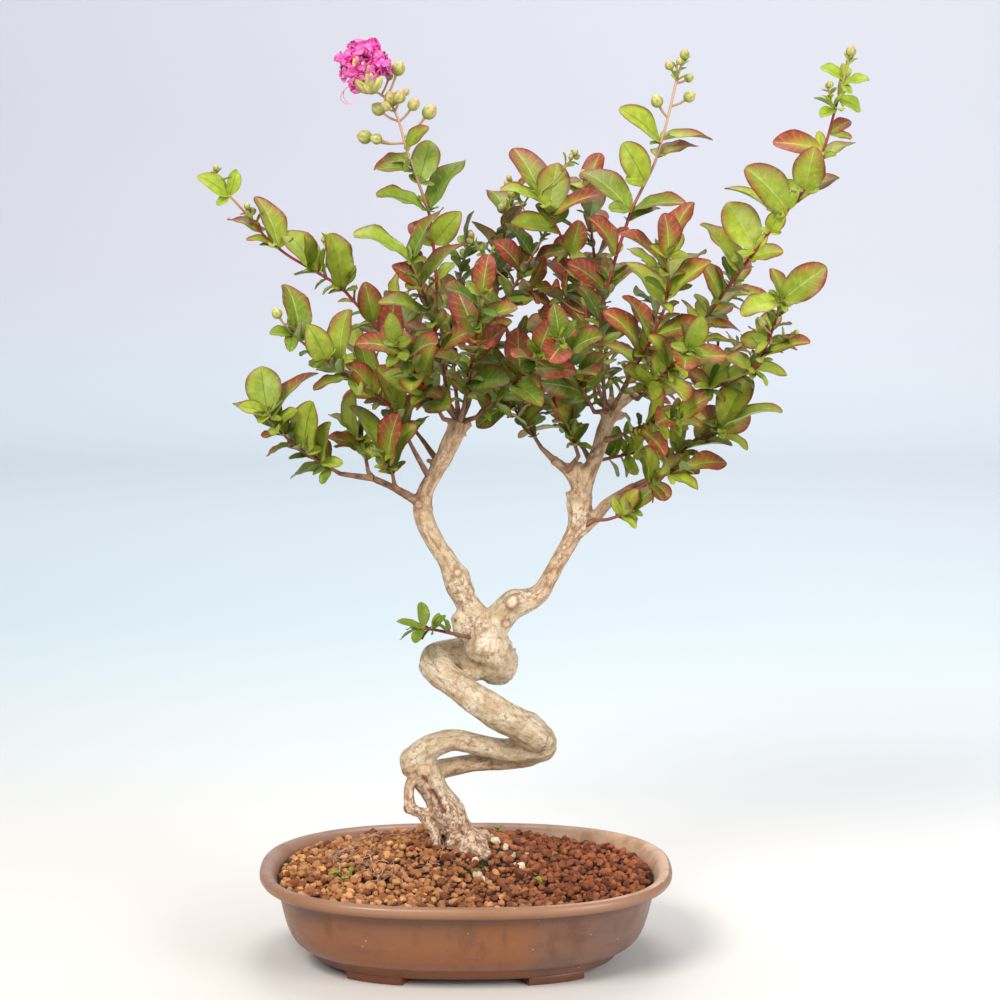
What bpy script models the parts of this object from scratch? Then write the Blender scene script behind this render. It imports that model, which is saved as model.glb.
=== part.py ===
"""A crepe myrtle bonsai with a looped trunk, in an oval brown pot with four feet.

Lengths in the tables are millimetres from the centre of the pot: X to the right, Y to the back, Z up from the
surface that the feet stand on. Meshes are made in metres.
"""

import math
import random
from collections import namedtuple

import bmesh
import bpy
from mathutils import Matrix, Vector
from mathutils.bvhtree import BVHTree

MM = 0.001
FIT_GAP = 0.3
CUT_PAST = 5.0
SEED = 41

# The middle of the whole plant, seen from above, from the centre of the pot. It is the part's origin.
PLANT_MIDDLE = (43.0, 4.0)

# Pot
POT_LENGTH = 280.0
POT_WIDTH = 215.0
POT_HEIGHT = 65.0
OVAL_POWER = 2.5
OVAL_POINTS = 28
FLOOR_TOP = 12.0
FOOT_HEIGHT = 8.0
FOOT_OUTER_INSET = 38.0
FOOT_INNER_INSET = 52.0
FRONT_FOOT_SPACE = 78.0
END_FOOT_SPACE = 92.0
DRAIN_HOLE_RADIUS = 11.0
DRAIN_HOLE_X = 45.0
DRAIN_HOLE_SIDES = 12
SHARP_ANGLE = math.radians(40)

# The wall's section: how far in from the rim's outline, and how high, up the outside and down the inside
POT_OUTSIDE = (
    (37.5, 4.0), (36.8, 10.8), (34.5, 12.0), (28.5, 14.0), (22.5, 19.0), (18.5, 27.0), (15.5, 38.0),
    (13.0, 50.0), (10.5, 54.5), (3.0, 56.5), (0.0, 60.5), (1.0, 64.0), (4.0, POT_HEIGHT),
)
POT_INSIDE = ((8.0, 64.0), (11.0, 60.0), (21.0, 36.0), (28.0, 20.0), (37.0, FLOOR_TOP))

# Drainage screens
SCREEN_SIDE = 36.0
SCREEN_THICKNESS = 1.2
SCREEN_MESHES = 2
SCREEN_BAR_WIDTH = 3.0

# Soil
SOIL_EDGE_HEIGHT = 55.0
MOUND_HEIGHT = 23.5
MOUND_CENTRE = (-12.0, 15.0)
MOUND_REACH = (74.0, 62.0)
SOIL_RINGS = (0.88, 0.66, 0.44, 0.22)
SOIL_BUMP = 1.1

# Root end of the trunk, a plain round stub in the soil
STUB_CENTRE = (1.0, 0.0)
STUB_RADIUS = 14.0
STUB_SIDES = 16
STUB_BOTTOM = 34.0
STUB_TOP = 79.0

# Trunk and main branches: (x, y, z, radius) from the root to the tip
TRUNK_LEG = (
    (1, 0, 70, 13.6), (0, 0, 77, 11.4), (-4, 0, 86, 9.8), (-12, 0, 100, 10.6), (-21, 1, 115, 9.6),
    (-33, 5, 134, 11.6),
)
UPPER_STRAND = (
    (-35, 4, 133, 10.2), (-26, 4, 143, 8.6), (-9, 4, 149, 7.5), (13, 4, 145, 7.4), (33, 4, 142, 8.7),
    (50, 4, 147, 11),
)
LOWER_STRAND = (
    (-34, 10, 128, 9.4), (-23, 14, 126, 7.4), (-10, 16, 128, 6.5), (9, 16, 131, 6.2), (35, 14, 134, 6.8),
    (51, 8, 143, 9.6),
)
TRUNK_LOOP = (
    (50, 7, 148, 11.8), (44, -5, 157, 11.8), (30, -14, 167, 11), (11, -19, 180, 10.2), (-4, -17, 191, 9.8),
    (-17, -11, 200, 10.4), (-20, 0, 205, 11), (-7, 10, 207, 11.2), (9, 6, 209, 12.2), (13, -4, 220, 14.4),
    (14, 0, 231, 10.5),
)
LEFT_BRANCH = (
    (12, 0, 227, 10.1), (5, 0, 238, 9), (-1, 0, 248, 7.8), (-5, 0, 257, 8.6), (-12, 0, 273, 6.6),
    (-21, 0, 287, 6.6), (-28, 0, 304, 6.8), (-26, 0, 320, 5.6), (-19, 0, 334, 5.4), (-14, 0, 344, 6),
    (-6, 0, 361, 6), (-3, 0, 370, 5),
)
RIGHT_BRANCH = (
    (18, 0, 227, 9.6), (24, 0, 236, 9.6), (31, 0, 243, 9.4), (40, 0, 246, 8.4), (49, 0, 251, 6.6),
    (57, 0, 263, 5.6), (65, 0, 278, 5.2), (72, 0, 291, 6), (76, 0, 303, 7.8), (76, 0, 315, 8.2),
    (82, 0, 332, 5.4), (89, 0, 350, 4.8), (92, 0, 361, 5), (98, 0, 376, 4.6),
)
# Round swellings and cut scars on the trunk: (x, y, z, radius)
BURLS = ((21, 3, 203, 15), (33, -2, 245, 9.6))

# Where most of the upper twigs leave the two main branches
LEFT_HEAD = (-4, 0, 366)
RIGHT_HEAD = (97, 0, 374)

# Lesser limbs: name, route of (x, y, z, radius)
LIMBS = (
    ("cut_stub", ((77, 0, 316, 6), (73, 0, 339, 4))),
    ("left_limb", ((76, 0, 318, 4), (69, 0, 332, 3.4), (58, -2, 342, 2.9))),
    ("low_right_limb", ((77, 0, 295, 4.8), (86, -2, 302, 4), (93, -4, 311, 3.6), (102, -5, 318, 3),
                        (113, -6, 325, 2.6))),
    ("low_left_limb", ((-28, 0, 309, 4), (-33, -2, 314, 3), (-47, -6, 323, 2.4), (-61, -9, 330, 2.1))),
    ("right_head", ((98, 0, 376, 4.6), (116, 0, 389, 3.2))),
    ("aerial_root", ((-32, 0, 127, 4), (-38, -3, 120, 3.4), (-38, -6, 107, 3.8), (-33, -5, 102, 3.6),
                     (-23, -1, 98, 3.8), (-14, 0, 93, 4.5))),
)

# Leafy shoots. "fork" is where the brown twig below the shoot leaves the wood, and "route" is the shoot's
# stem. A leaf that the front view shows is (how far along the stem, its angle from +X in the picture plane
# in degrees, its length there, its width there). A shoot with no such list carries leaves by the rule below.
# A bud is (x, y, z, radius).
Shoot = namedtuple("Shoot", "name fork route leaves buds")

SHOOTS = (
    Shoot(
        "flower_shoot",
        LEFT_HEAD,
        ((-11, 2, 382), (-14, 4, 414), (-18, 3, 447), (-20, 0, 477), (-23, -2, 504), (-38, -5, 546),
         (-43, -6, 566), (-49, -8, 578), (-60, -8, 585)),
        ((0.47, 135, 22, 13), (0.48, 50, 28, 18), (0.58, 55, 41, 14), (0.58, 160, 36, 12), (0.67, 75, 29, 19),
         (0.71, 175, 24, 9), (0.75, 195, 25, 10), (0.79, 40, 20, 11)),
        ((-43, -4, 598, 4.6), (-33, -10, 575, 4), (-23, -4, 570, 4.8), (-65, -2, 554, 4.6),
         (-57, -12, 553, 3.6), (-42, -14, 580, 4.2), (-56, -2, 572, 4.4)),
    ),
    Shoot(
        "front_shoot",
        RIGHT_HEAD,
        ((100, -20, 384), (108, -34, 403), (116, -48, 418), (121, -56, 430), (128, -62, 447), (130, -66, 465),
         (129, -70, 482)),
        ((0.3, 155, 29, 11), (0.38, 130, 39, 11), (0.46, 115, 34, 10), (0.51, 15, 34, 13), (0.7, 130, 38, 16),
         (0.73, 45, 39, 11), (0.85, 35, 48, 14), (0.9, 140, 45, 13), (1.0, 65, 38, 13), (1.0, 95, 28, 15)),
        (),
    ),
    Shoot(
        "tall_right_shoot",
        (116, 0, 389),
        ((137, -2, 400), (149, 0, 420), (163, 0, 442), (181, -2, 467), (199, -5, 492), (222, -6, 520),
         (235, -4, 548), (243, -2, 579), (250, 0, 604)),
        ((0.17, 25, 21, 10), (0.24, 115, 27, 12), (0.33, 125, 40, 16), (0.38, 15, 22, 10),
         (0.41, 120, 36, 25), (0.47, 65, 17, 13), (0.52, 150, 41, 11), (0.55, 135, 42, 25),
         (0.57, 30, 36, 13), (0.62, 80, 29, 22), (0.71, 25, 28, 11), (0.74, 170, 34, 16), (0.79, 30, 17, 10),
         (0.86, 205, 12, 8), (0.89, 335, 18, 10), (0.93, 10, 17, 8), (0.94, 145, 17, 8)),
        ((251, 0, 609, 3.4),),
    ),
    Shoot(
        "tall_centre_shoot",
        RIGHT_HEAD,
        ((92, -9, 383), (89, -12, 416), (89, -13, 442), (99, -12, 478), (109, -10, 508), (124, -6, 537),
         (132, -4, 565), (138, -2, 592), (142, 0, 603)),
        ((0.22, 120, 28, 13), (0.31, 140, 32, 14), (0.33, 35, 25, 10), (0.42, 125, 31, 15),
         (0.52, 20, 23, 9), (0.55, 10, 36, 11), (0.55, 140, 41, 19), (0.64, 120, 30, 20), (0.72, 15, 29, 11),
         (0.76, 140, 36, 13), (0.77, 0, 34, 10)),
        ((143, 0, 607, 3.2), (133, -4, 600, 3), (146, 2, 592, 3), (146, -4, 580, 3.8), (125, -6, 577, 4)),
    ),
    Shoot(
        "centre_shoot",
        RIGHT_HEAD,
        ((86, -1, 384), (82, 4, 415), (79, 12, 447), (75, 18, 464), (62, 22, 491), (49, 26, 516)),
        ((0.32, 135, 27, 14), (0.48, 45, 25, 12), (0.51, 135, 27, 13), (0.68, 75, 24, 16), (0.7, 195, 23, 10),
         (0.79, 165, 33, 12), (0.84, 130, 18, 9), (0.88, 25, 37, 12), (0.9, 80, 33, 23), (0.94, 160, 32, 11),
         (1.0, 120, 35, 19)),
        (),
    ),
    Shoot(
        "long_left_shoot",
        LEFT_HEAD,
        ((-19, 6, 386), (-54, 14, 423), (-83, 18, 455), (-100, 20, 465), (-118, 22, 475), (-133, 24, 487),
         (-144, 25, 501), (-155, 26, 513), (-164, 27, 521)),
        ((0.14, 225, 25, 12), (0.22, 85, 31, 19), (0.25, 160, 20, 10), (0.31, 100, 28, 17), (0.45, 75, 20, 8),
         (0.47, 100, 37, 18), (0.56, 130, 36, 17), (0.59, 95, 23, 8), (0.71, 115, 38, 15), (0.74, 170, 17, 7),
         (0.79, 160, 25, 9), (0.95, 145, 24, 13)),
        ((-142, 32, 504, 2.6), (-167, 28, 524, 2.4)),
    ),
    Shoot(
        "left_inner_shoot",
        LEFT_HEAD,
        ((-10, -9, 378), (-14, -24, 404), (-18, -36, 427), (-23, -44, 447), (-28, -50, 461), (-34, -55, 477)),
        ((0.39, 140, 29, 11), (0.41, 30, 30, 13), (0.59, 115, 31, 10), (0.63, 160, 35, 11),
         (0.83, 45, 40, 13), (0.83, 140, 23, 10), (1.0, 60, 40, 13), (1.0, 150, 43, 12)),
        (),
    ),
    Shoot(
        "low_left_shoot",
        (-23, 0, 327),
        ((-35, -14, 352), (-47, -24, 379), (-59, -31, 389), (-80, -39, 405), (-101, -46, 421),
         (-111, -50, 431)),
        ((0.12, 65, 29, 12), (0.17, 110, 50, 12), (0.28, 90, 24, 14), (0.39, 130, 29, 16),
         (0.46, 100, 32, 11), (0.57, 195, 25, 8), (0.64, 85, 39, 16), (0.74, 115, 27, 18),
         (0.93, 105, 37, 18), (1.0, 175, 14, 8)),
        ((-120, -50, 443, 3.4),),
    ),
    Shoot(
        "bottom_left_shoot",
        (-61, -9, 330),
        ((-85, -12, 335), (-97, -17, 343), (-108, -21, 351), (-117, -24, 359), (-129, -30, 377)),
        ((0.08, 195, 28, 9), (0.21, 75, 29, 14), (0.27, 160, 24, 8), (0.4, 80, 36, 20), (0.67, 150, 52, 13),
         (0.83, 35, 18, 9), (0.92, 45, 42, 13), (0.96, 160, 20, 9), (1.0, 100, 30, 24)),
        (),
    ),
    Shoot(
        "low_left_twig_shoot",
        (-44, -5, 321),
        ((-47, -15, 329), (-48, -20, 337), (-52, -23, 342), (-56, -25, 349)),
        ((0.3, 70, 20, 8), (0.5, 80, 39, 13), (0.62, 110, 25, 10), (0.75, 50, 32, 13), (0.98, 120, 36, 10)),
        (),
    ),
    Shoot(
        "low_left_back_shoot",
        (-61, -9, 330),
        ((-65, 0, 336), (-67, 6, 345), (-71, 10, 352), (-75, 13, 358)),
        ((0.2, 50, 16, 9), (0.45, 155, 26, 10), (0.6, 80, 24, 9), (0.85, 90, 33, 14), (0.97, 145, 21, 8)),
        (),
    ),
    Shoot(
        "right_bud_shoot",
        (116, 0, 389),
        ((155, -14, 389), (174, -24, 396), (190, -31, 406), (196, -36, 422), (201, -41, 438),
         (204, -45, 452)),
        ((0.0, 55, 30, 16), (0.05, 25, 32, 13), (0.08, 145, 19, 10), (0.42, 150, 20, 9), (0.43, 350, 23, 8),
         (0.55, 20, 32, 12), (0.68, 180, 18, 12), (1.0, 40, 35, 22), (1.0, 105, 21, 9), (1.0, 195, 28, 15)),
        ((191, -45, 437, 3.2),),
    ),
    Shoot(
        "low_right_shoot",
        (113, -6, 325),
        ((131, -8, 335), (138, -14, 346), (150, -20, 357), (161, -25, 363), (168, -29, 367)),
        ((0.02, 105, 18, 9), (0.17, 340, 20, 9), (0.31, 70, 32, 12), (0.38, 10, 33, 9), (0.62, 50, 26, 20),
         (0.85, 335, 25, 9), (0.91, 20, 25, 16), (1.0, 20, 40, 11), (1.0, 60, 37, 20)),
        (),
    ),
    Shoot(
        "under_right_shoot",
        (102, -5, 318),
        ((116, -17, 325), (123, -23, 331), (133, -30, 336), (144, -36, 341)),
        ((0.19, 325, 19, 12), (0.25, 100, 25, 10), (0.48, 40, 25, 9), (0.65, 335, 21, 10), (1.0, 5, 28, 12)),
        (),
    ),
    Shoot(
        "lowest_right_shoot",
        (77, -1, 294),
        ((87, -9, 302), (94, -13, 303), (101, -17, 306), (110, -21, 311)),
        ((0.55, 345, 15, 7), (0.68, 60, 21, 11), (1.0, 45, 22, 10)),
        (),
    ),
    Shoot(
        "inner_right_shoot",
        (84, 0, 337),
        ((91, 8, 340), (99, 14, 341), (108, 20, 342), (118, 26, 343)),
        ((0.33, 85, 20, 12), (0.62, 45, 22, 10), (0.89, 350, 18, 9), (1.0, 115, 20, 9)),
        (),
    ),
    Shoot(
        "inner_gap_shoot",
        (67, -1, 333),
        ((74, -13, 348), (70, -18, 360), (66, -22, 371), (62, -24, 378)),
        ((0.2, 55, 16, 8), (0.4, 120, 29, 9), (0.58, 50, 27, 9), (0.8, 100, 30, 14), (0.98, 150, 19, 9)),
        (),
    ),
    Shoot(
        "left_limb_shoot",
        (58, -2, 342),
        ((49, -4, 352), (43, -8, 362), (35, -12, 373), (28, -14, 384)),
        ((0.38, 110, 18, 9), (0.52, 35, 20, 9), (0.75, 135, 17, 8), (0.9, 215, 28, 14), (1.0, 85, 21, 12)),
        (),
    ),
    Shoot(
        "trunk_sprig",
        (8, -8, 222),
        ((-3, -18, 226), (-10, -20, 228), (-18, -21, 230), (-31, -22, 232)),
        ((0.3, 120, 9, 5), (0.66, 55, 14, 7), (0.75, 215, 9, 5), (0.9, 160, 18, 8), (1.0, 205, 9, 5)),
        (),
    ),
    Shoot(
        "mid_cross_shoot",
        LEFT_HEAD,
        ((3, 3, 381), (12, 6, 414), (24, 12, 441), (34, 16, 458), (52, 20, 488)),
        ((0.29, 150, 25, 12), (0.31, 45, 25, 13), (0.53, 150, 26, 13), (0.55, 15, 22, 10), (0.72, 30, 25, 10),
         (0.77, 130, 28, 13), (0.87, 130, 29, 12), (1.0, 70, 25, 12)),
        (),
    ),
    Shoot("back_left_shoot", LEFT_HEAD, ((-14, 16, 377), (-30, 45, 403), (-48, 72, 440)), None, ()),
    Shoot("back_middle_shoot", LEFT_HEAD, ((-6, 20, 380), (-11, 55, 422), (0, 85, 478)), None,
          ((2, 86, 484, 3.6),)),
    Shoot("back_tall_shoot", LEFT_HEAD, ((2, 16, 380), (14, 44, 425), (30, 60, 508)), None,
          ((31, 62, 514, 3.4), (24, 60, 504, 3))),
    Shoot("front_left_shoot", LEFT_HEAD, ((-15, -16, 372), (-27, -50, 397), (-42, -84, 428)), None, ()),
    Shoot("front_middle_shoot", LEFT_HEAD, ((-1, -20, 378), (6, -58, 418), (12, -80, 458)), None, ()),
    Shoot("front_cross_shoot", LEFT_HEAD, ((9, -15, 373), (30, -40, 394), (48, -74, 420)), None, ()),
    Shoot("side_left_shoot", (-17, 0, 338), ((-30, 15, 354), (-50, 40, 376), (-72, 62, 404)), None, ()),
    Shoot("right_back_shoot", RIGHT_HEAD, ((89, 15, 386), (77, 45, 423), (64, 72, 466)), None, ()),
    Shoot("right_back_tall_shoot", RIGHT_HEAD, ((97, 18, 388), (90, 56, 442), (82, 70, 518)),
          None, ((80, 71, 526, 3.4),)),
    Shoot("right_back_side_shoot", RIGHT_HEAD, ((106, 17, 386), (126, 55, 422), (135, 90, 470)), None, ()),
    Shoot("right_back_outer_shoot", (116, 0, 389), ((124, 14, 394), (156, 50, 418), (184, 72, 452)),
          None, ()),
    Shoot("right_low_back_shoot", (110, 0, 385), ((124, 17, 384), (160, 44, 396), (200, 76, 416)), None, ()),
    Shoot("right_front_left_shoot", RIGHT_HEAD, ((84, -19, 377), (72, -52, 402), (60, -84, 432)), None, ()),
    Shoot("right_front_shoot", (110, 0, 385), ((114, -20, 385), (124, -52, 400), (143, -82, 424)), None, ()),
    Shoot("right_front_low_shoot", (90, 0, 354), ((101, -15, 359), (118, -38, 370), (138, -66, 378)),
          None, ()),
    Shoot("left_gap_back_shoot", (84, 0, 338), ((77, 14, 349), (62, 32, 364), (44, 58, 378)), None, ()),
)

# Shoot stems and buds
STEM_RADIUS = (1.35, 0.8)
TWIG_FOOT_RADIUS = 2.3
TWIG_RADIUS = 1.5
TWIG_LEAD = 3.0
PEDICEL_RADIUS = 0.75
PEDICEL_TRIES = 60

# Leaf blades
BLADE_THICKNESS = 0.7
BLADE_ARCH = 0.07
BLADE_FOLD = 0.28
WIDTH_OF_LENGTH = 0.58
# Stations along a blade: (share of its length, half-width there as a share of its width)
LARGE_BLADE = ((0.32, 0.4), (0.7, 0.5))
SMALL_BLADE = ((0.6, 0.5),)
SMALL_LEAF = 34.0
CLEARANCE = 0.4
LOWEST_LEAF = 3.5
SHORTEST_LEAF = 17.0
LONGEST_LEAF = 44.0
STEEPEST_LEAN = 62.0
LEANS = (0, 14, -14, 28, -28, 42, -42, 56, -56)
WIDE_SWINGS = (80, -80, 110, -110)
NATURAL_LENGTHENING = 1.08
GOLDEN_ANGLE = math.radians(137.5)
SHRINKS = (1.0, 0.85, 0.7)

# Leaves by rule: the one at the tip, number 0, is smaller and stands closer to the stem's line
RULE_LEAF_LENGTHS = (29.0, 37.0)
RULE_LEAF_SPACING = 12.0
RULE_LEAF_STEM_SHARE = 0.85
RULE_LEAF_TURN = 0.4
LEAF_SPREAD = math.radians(52)
TIP_LEAF_SIZE = 0.75
TIP_LEAF_SPREAD = 0.5

# Flower
BLOOM_CENTRE = (-65, -8, 601)
BLOOM_CORE_RADIUS = 6.0
CALYX_CENTRE = (-61, -8, 586.5)
CALYX_RADIUS = 3.2
CLAW_RADIUS = 1.6
CLAW_TOP_RADIUS = 2.0
CLAW_FOOT = 2.0
PETALS = 13
PETAL_REACH = (17.0, 21.0)
PETAL_WIDTH = 13.5
PETAL_BLADE = ((0.5, 0.3), (0.85, 0.5))
PETAL_WAVE = 1.6

COLOURS = {
    "pot": ((0.16, 0.07, 0.035, 1), 0.38),
    "screen": ((0.03, 0.03, 0.03, 1), 0.6),
    "soil": ((0.42, 0.21, 0.11, 1), 0.95),
    "wood": ((0.45, 0.33, 0.22, 1), 0.85),
    "shoot": ((0.22, 0.3, 0.06, 1), 0.5),
    "flower": ((0.8, 0.07, 0.42, 1), 0.6),
}


def clear_scene():
    for obj in list(bpy.data.objects):
        bpy.data.objects.remove(obj)


def new_collection(name, hidden=False):
    collection = bpy.data.collections.new(name)
    collection.hide_render = hidden
    bpy.context.scene.collection.children.link(collection)
    return collection


def mesh_object(name, bm, collection):
    """Makes an object of a bmesh in millimetres."""
    bmesh.ops.scale(bm, vec=(MM, MM, MM), verts=bm.verts)
    bmesh.ops.recalc_face_normals(bm, faces=bm.faces)
    mesh = bpy.data.meshes.new(name)
    bm.to_mesh(mesh)
    bm.free()
    obj = bpy.data.objects.new(name, mesh)
    collection.objects.link(obj)
    return obj


def evaluated_mesh(obj):
    bpy.context.view_layer.update()
    graph = bpy.context.evaluated_depsgraph_get()
    return bpy.data.meshes.new_from_object(obj.evaluated_get(graph))


def apply_boolean(obj, operation, others):
    """Applies one Boolean with all the other objects as its collection, then removes those objects."""
    group = new_collection("operands", hidden=True)
    for other in others:
        group.objects.link(other)
    boolean = obj.modifiers.new(operation.title(), "BOOLEAN")
    boolean.operation = operation
    boolean.operand_type = "COLLECTION"
    boolean.collection = group
    boolean.solver = "EXACT"
    mesh = evaluated_mesh(obj)
    obj.modifiers.clear()
    obj.data = mesh
    for other in others:
        bpy.data.objects.remove(other)
    bpy.data.collections.remove(group)


def paint(obj, kind):
    colour, roughness = COLOURS[kind]
    material = bpy.data.materials.new(obj.name)
    material.use_nodes = True
    shader = material.node_tree.nodes["Principled BSDF"]
    shader.inputs["Base Color"].default_value = colour
    shader.inputs["Roughness"].default_value = roughness
    obj.data.materials.clear()
    obj.data.materials.append(material)


# Primitives


def tube(name, route, bevel_resolution, collection):
    """A round tube through (x, y, z, radius) points with flat ends, as a closed mesh."""
    curve = bpy.data.curves.new(name, "CURVE")
    curve.dimensions = "3D"
    curve.bevel_depth = MM
    curve.bevel_resolution = bevel_resolution
    curve.use_fill_caps = True
    spline = curve.splines.new("POLY")
    spline.points.add(len(route) - 1)
    for point, (x, y, z, radius) in zip(spline.points, route):
        point.co = (x * MM, y * MM, z * MM, 1)
        point.radius = radius
    guide = bpy.data.objects.new(name + "_guide", curve)
    collection.objects.link(guide)
    mesh = evaluated_mesh(guide)
    bm = bmesh.new()
    bm.from_mesh(mesh)
    bmesh.ops.remove_doubles(bm, verts=bm.verts, dist=0.00001)
    bm.to_mesh(mesh)
    bm.free()
    obj = bpy.data.objects.new(name, mesh)
    obj.matrix_world = guide.matrix_world
    collection.objects.link(obj)
    bpy.data.objects.remove(guide)
    return obj


def box(name, low, high, collection):
    bm = bmesh.new()
    bmesh.ops.create_cube(bm, size=1)
    size = [top - bottom for bottom, top in zip(low, high)]
    middle = [(top + bottom) / 2 for bottom, top in zip(low, high)]
    bmesh.ops.scale(bm, vec=size, verts=bm.verts)
    bmesh.ops.translate(bm, vec=middle, verts=bm.verts)
    return mesh_object(name, bm, collection)


def cylinder(name, centre, radius, bottom, top, sides, collection):
    bm = bmesh.new()
    bmesh.ops.create_cone(
        bm, cap_ends=True, segments=sides, radius1=radius, radius2=radius, depth=top - bottom
    )
    bmesh.ops.translate(bm, vec=(*centre, (top + bottom) / 2), verts=bm.verts)
    return mesh_object(name, bm, collection)


def ball(name, centre, radius, subdivisions, collection):
    bm = bmesh.new()
    bmesh.ops.create_icosphere(bm, subdivisions=subdivisions, radius=radius)
    bmesh.ops.translate(bm, vec=centre, verts=bm.verts)
    return mesh_object(name, bm, collection)


# Pot


def oval_point(index, inset):
    """A point of the pot's plan, this far in from the rim: a squared-off ellipse."""
    angle = 2 * math.pi * index / OVAL_POINTS
    x = math.copysign(abs(math.cos(angle)) ** (2 / OVAL_POWER), math.cos(angle))
    y = math.copysign(abs(math.sin(angle)) ** (2 / OVAL_POWER), math.sin(angle))
    return (POT_LENGTH / 2 - inset) * x, (POT_WIDTH / 2 - inset) * y


def oval_ring(bm, inset, z):
    return [bm.verts.new((*oval_point(index, inset), z)) for index in range(OVAL_POINTS)]


def join_rings(bm, lower, upper):
    count = len(lower)
    for index in range(count):
        after = (index + 1) % count
        bm.faces.new((lower[index], lower[after], upper[after], upper[index]))


def loft(name, section, collection, closed=False):
    """A solid through oval rings of (inset, height): ring-shaped if closed, else capped at both ends."""
    bm = bmesh.new()
    rings = [oval_ring(bm, inset, z) for inset, z in section]
    for lower, upper in zip(rings, rings[1:]):
        join_rings(bm, lower, upper)
    if closed:
        join_rings(bm, rings[-1], rings[0])
    else:
        bm.faces.new(rings[0])
        bm.faces.new(rings[-1])
    return mesh_object(name, bm, collection)


def make_feet(collection):
    """Four curved feet: a base ring with a gap at the middle of each side and end."""
    ring = loft(
        "feet",
        ((FOOT_OUTER_INSET, 0), (FOOT_OUTER_INSET, FOOT_HEIGHT), (FOOT_INNER_INSET, FOOT_HEIGHT),
         (FOOT_INNER_INSET, 0)),
        collection,
        closed=True,
    )
    top = FOOT_HEIGHT + CUT_PAST
    gaps = [
        box("gap", (-length / 2, -width / 2, -CUT_PAST), (length / 2, width / 2, top), collection)
        for length, width in ((FRONT_FOOT_SPACE, POT_WIDTH), (POT_LENGTH, END_FOOT_SPACE))
    ]
    apply_boolean(ring, "DIFFERENCE", gaps)
    return ring


def make_pot(collection):
    pot = loft("pot", POT_OUTSIDE + POT_INSIDE, collection)
    apply_boolean(pot, "UNION", [make_feet(collection)])
    top = FLOOR_TOP + CUT_PAST
    holes = [
        cylinder("drain", (x, 0), DRAIN_HOLE_RADIUS, 0, top, DRAIN_HOLE_SIDES, collection)
        for x in (-DRAIN_HOLE_X, DRAIN_HOLE_X)
    ]
    apply_boolean(pot, "DIFFERENCE", holes)
    pot.data.shade_smooth()
    pot.data.set_sharp_from_angle(angle=SHARP_ANGLE)
    paint(pot, "pot")
    return pot


def make_screen(side, collection):
    """A square mesh screen that lies over one drainage hole."""
    centre = side * DRAIN_HOLE_X
    half = SCREEN_SIDE / 2
    bottom = FLOOR_TOP + FIT_GAP
    top = bottom + SCREEN_THICKNESS
    name = "drain_screen_left" if side < 0 else "drain_screen_right"
    screen = box(name, (centre - half, -half, bottom), (centre + half, half, top), collection)
    pitch = (SCREEN_SIDE - SCREEN_BAR_WIDTH) / SCREEN_MESHES
    width = pitch - SCREEN_BAR_WIDTH
    corners = [-half + SCREEN_BAR_WIDTH + index * pitch for index in range(SCREEN_MESHES)]
    meshes = []
    for x in corners:
        for y in corners:
            low = (centre + x, y, bottom - CUT_PAST)
            high = (centre + x + width, y + width, top + CUT_PAST)
            meshes.append(box("mesh", low, high, collection))
    apply_boolean(screen, "DIFFERENCE", meshes)
    paint(screen, "screen")
    return screen


# Soil


def wall_inset(z):
    """The inset of the pot's inner wall at height z."""
    for (upper_inset, upper_z), (lower_inset, lower_z) in zip(POT_INSIDE, POT_INSIDE[1:]):
        if lower_z <= z <= upper_z:
            return lower_inset + (upper_inset - lower_inset) * (z - lower_z) / (upper_z - lower_z)
    return POT_INSIDE[-1][0]


def soil_height(x, y):
    """A mound that rises to the trunk, with small bumps."""
    across = (x - MOUND_CENTRE[0]) / MOUND_REACH[0]
    deep = (y - MOUND_CENTRE[1]) / MOUND_REACH[1]
    mound = MOUND_HEIGHT * math.exp(-across * across - deep * deep)
    bumps = math.sin(0.19 * x + 1.3) * math.cos(0.23 * y) + 0.6 * math.sin(0.41 * x - 0.33 * y)
    return SOIL_EDGE_HEIGHT + mound + SOIL_BUMP * bumps


def make_soil(collection):
    bm = bmesh.new()
    sides = [(inset, z) for inset, z in POT_INSIDE[::-1] if z < SOIL_EDGE_HEIGHT]
    rings = []
    for inset, z in sides:
        rings.append(oval_ring(bm, inset + FIT_GAP, max(z, FLOOR_TOP + FIT_GAP)))
    edge = []
    for index in range(OVAL_POINTS):
        height = soil_height(*oval_point(index, wall_inset(SOIL_EDGE_HEIGHT)))
        edge.append((*oval_point(index, wall_inset(height) + FIT_GAP), height))
    rings.append([bm.verts.new(point) for point in edge])
    for share in SOIL_RINGS:
        places = [(x * share, y * share) for x, y, _ in edge]
        rings.append([bm.verts.new((*place, soil_height(*place))) for place in places])
    for lower, upper in zip(rings, rings[1:]):
        join_rings(bm, lower, upper)
    bm.faces.new(rings[0])
    top = bm.verts.new((0, 0, soil_height(0, 0)))
    for index in range(OVAL_POINTS):
        bm.faces.new((rings[-1][index], rings[-1][(index + 1) % OVAL_POINTS], top))
    soil = mesh_object("soil", bm, collection)
    half = SCREEN_SIDE / 2 + FIT_GAP
    recess_top = FLOOR_TOP + 2 * FIT_GAP + SCREEN_THICKNESS
    cutters = [
        box("recess", (x - half, -half, FLOOR_TOP - CUT_PAST), (x + half, half, recess_top), collection)
        for x in (-DRAIN_HOLE_X, DRAIN_HOLE_X)
    ]
    radius = STUB_RADIUS + FIT_GAP
    bottom = STUB_BOTTOM - FIT_GAP
    top = SOIL_EDGE_HEIGHT + MOUND_HEIGHT + CUT_PAST
    cutters.append(cylinder("hole", STUB_CENTRE, radius, bottom, top, STUB_SIDES, collection))
    apply_boolean(soil, "DIFFERENCE", cutters)
    paint(soil, "soil")
    return soil


# Wood


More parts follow.
